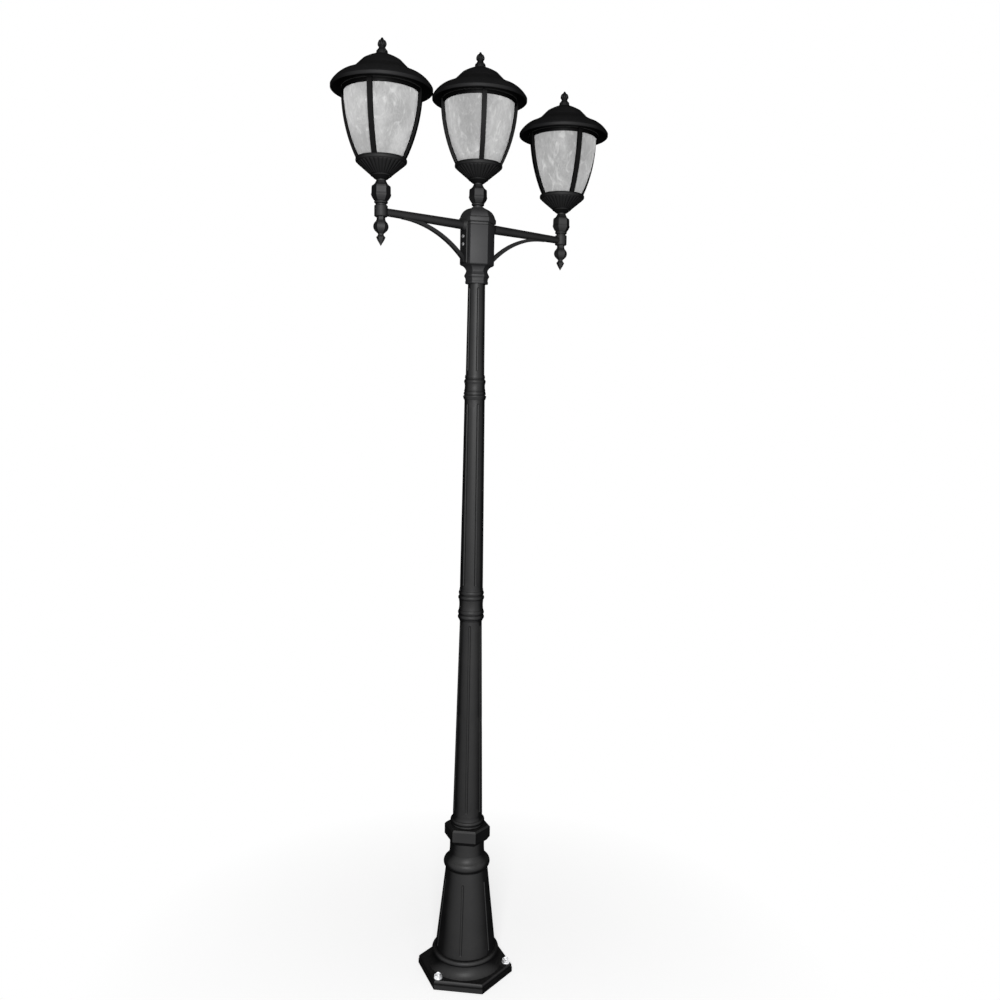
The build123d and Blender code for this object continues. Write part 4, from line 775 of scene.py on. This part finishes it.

# ---- Cages and bridges
# Four ribs that curve out with the glass and a top ring, one casting, screwed down to the bowl's rim with
# blackened screws. Its coat is a darker copy of the black coat, painted shade. A zinc-plated bridge bar
# across its ring carries the stud that holds the roof.
# The cage's tone, darker than the other coats', is painted shade: a shaded copy of the black coat.
cage_coat_painted_shade = black_coat("cage_coat_painted_shade", tone=0.003, dust_and_top_light=0.04, grain=0.6, roughness=0.42, gloss=0.18, edge=0.0018)
blackened = plated("blackened_steel", (0.09, 0.09, 0.09), (0.05, 0.05, 0.05), 0.4)
for side in SIDES:
    dress(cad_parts[f"{side}_cage"], cage_coat_painted_shade)
    dress(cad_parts[f"{side}_cage_screws"], blackened)
    dress(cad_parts[f"{side}_bridge"], bright_zinc)

# ---- Roofs
# Spun-looking brimmed castings with a stepped upper dome, each held down over a rubber ring by its finial.
# Their satin coat is the smoothest on the post.
roof_coat = black_coat("roof_coat", tone=0.01, dust_and_top_light=0.1, grain=0.5, roughness=0.55, relief=0.00015, gloss=0.4)
for side in SIDES:
    dress(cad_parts[f"{side}_roof"], roof_coat)

# ---- Finials
# A turned stalk with a cup of twelve leaves at its foot and a ribbed bud with a pointed tip, cast in one and
# screwed on the stud that comes up through the roof.
LEAF_COUNT = 12
LEAF_LENGTH = 7.0 * MM
LEAF_FOOT_WIDTH, LEAF_HEAD_WIDTH = 3.9 * MM, 3.2 * MM
LEAF_RING = 13.2 * MM
LEAF_LEAN = -5.0                # degrees, inwards at the tip
BUD_RIB_COUNT = 8
BUD_RIB_SIZE = (3.6, 3.4, 7.6)  # half its depth, width and height, in millimetres
BUD_RIB_RING = 7.6 * MM
BUD_RIB_LEAN = -15.0
BUD_MIDDLE = 27.5 * MM

finial_coat = black_coat("finial_coat", tone=0.009, dust_and_top_light=0.08, grain=0.7, roughness=0.5, gloss=0.4)
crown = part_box("middle_finial")[0][2] - seat["middle"].translation.z
stalk = drawn_up("stalk", 48, [
    (AXIS, crown), (15.0 * MM, crown), (15.0 * MM, crown + 1.5 * MM), (13.2 * MM, crown + 2.4 * MM),
    (13.0 * MM, crown + 8 * MM), (10.6 * MM, crown + 12.5 * MM), (8.3 * MM, crown + 16 * MM),
    (8.0 * MM, crown + 18 * MM), (9.4 * MM, crown + 19.4 * MM), (9.4 * MM, crown + 20.6 * MM),
    (8.4 * MM, crown + 21.6 * MM), (9.2 * MM, crown + 25 * MM), (8.6 * MM, crown + 30 * MM),
    (6.0 * MM, crown + 34.5 * MM), (3.4 * MM, crown + 37.6 * MM), (3.3 * MM, crown + 38.8 * MM),
    (2.2 * MM, crown + 40.4 * MM), (AXIS, crown + 41.5 * MM),
])
nothing_selected()
bpy.ops.mesh.primitive_cone_add(
    vertices=8, radius1=LEAF_FOOT_WIDTH, radius2=LEAF_HEAD_WIDTH, depth=LEAF_LENGTH,
    location=(0, 0, LEAF_LENGTH / 2), rotation=(0, 0, radians(22.5)),
)
leaf = bpy.context.object
leaf.name = "leaf"
bpy.ops.object.transform_apply(location=True, rotation=True, scale=True)
tapered_end(leaf, 1, ((1.4 * MM, 0.72), (1.4 * MM, 0.35)))
on_stalk = Matrix.Translation((LEAF_RING, 0, crown + 1.0 * MM)) @ Matrix.Rotation(radians(LEAF_LEAN), 4, "Y")
moved(leaf, on_stalk @ Matrix.Diagonal((0.5, 1, 1, 1)))
nothing_selected()
bpy.ops.mesh.primitive_uv_sphere_add(segments=10, ring_count=8, radius=1 * MM)
bud_rib = bpy.context.object
bud_rib.name = "bud_rib"
bud_rib_lean = Matrix.Rotation(radians(BUD_RIB_LEAN), 4, "Y")
on_bud = Matrix.Translation((BUD_RIB_RING, 0, crown + BUD_MIDDLE)) @ bud_rib_lean
moved(bud_rib, on_bud @ Matrix.Diagonal((*BUD_RIB_SIZE, 1)))
for ornament, count in ((leaf, LEAF_COUNT), (bud_rib, BUD_RIB_COUNT)):
    ringed(ornament, count, 45)
finial = joined("finial", [stalk, leaf, bud_rib])
dress(finial, finial_coat, "coated_aluminium")
set_on_seats(finial, "leaf_finial", "finial_unit", "finial")
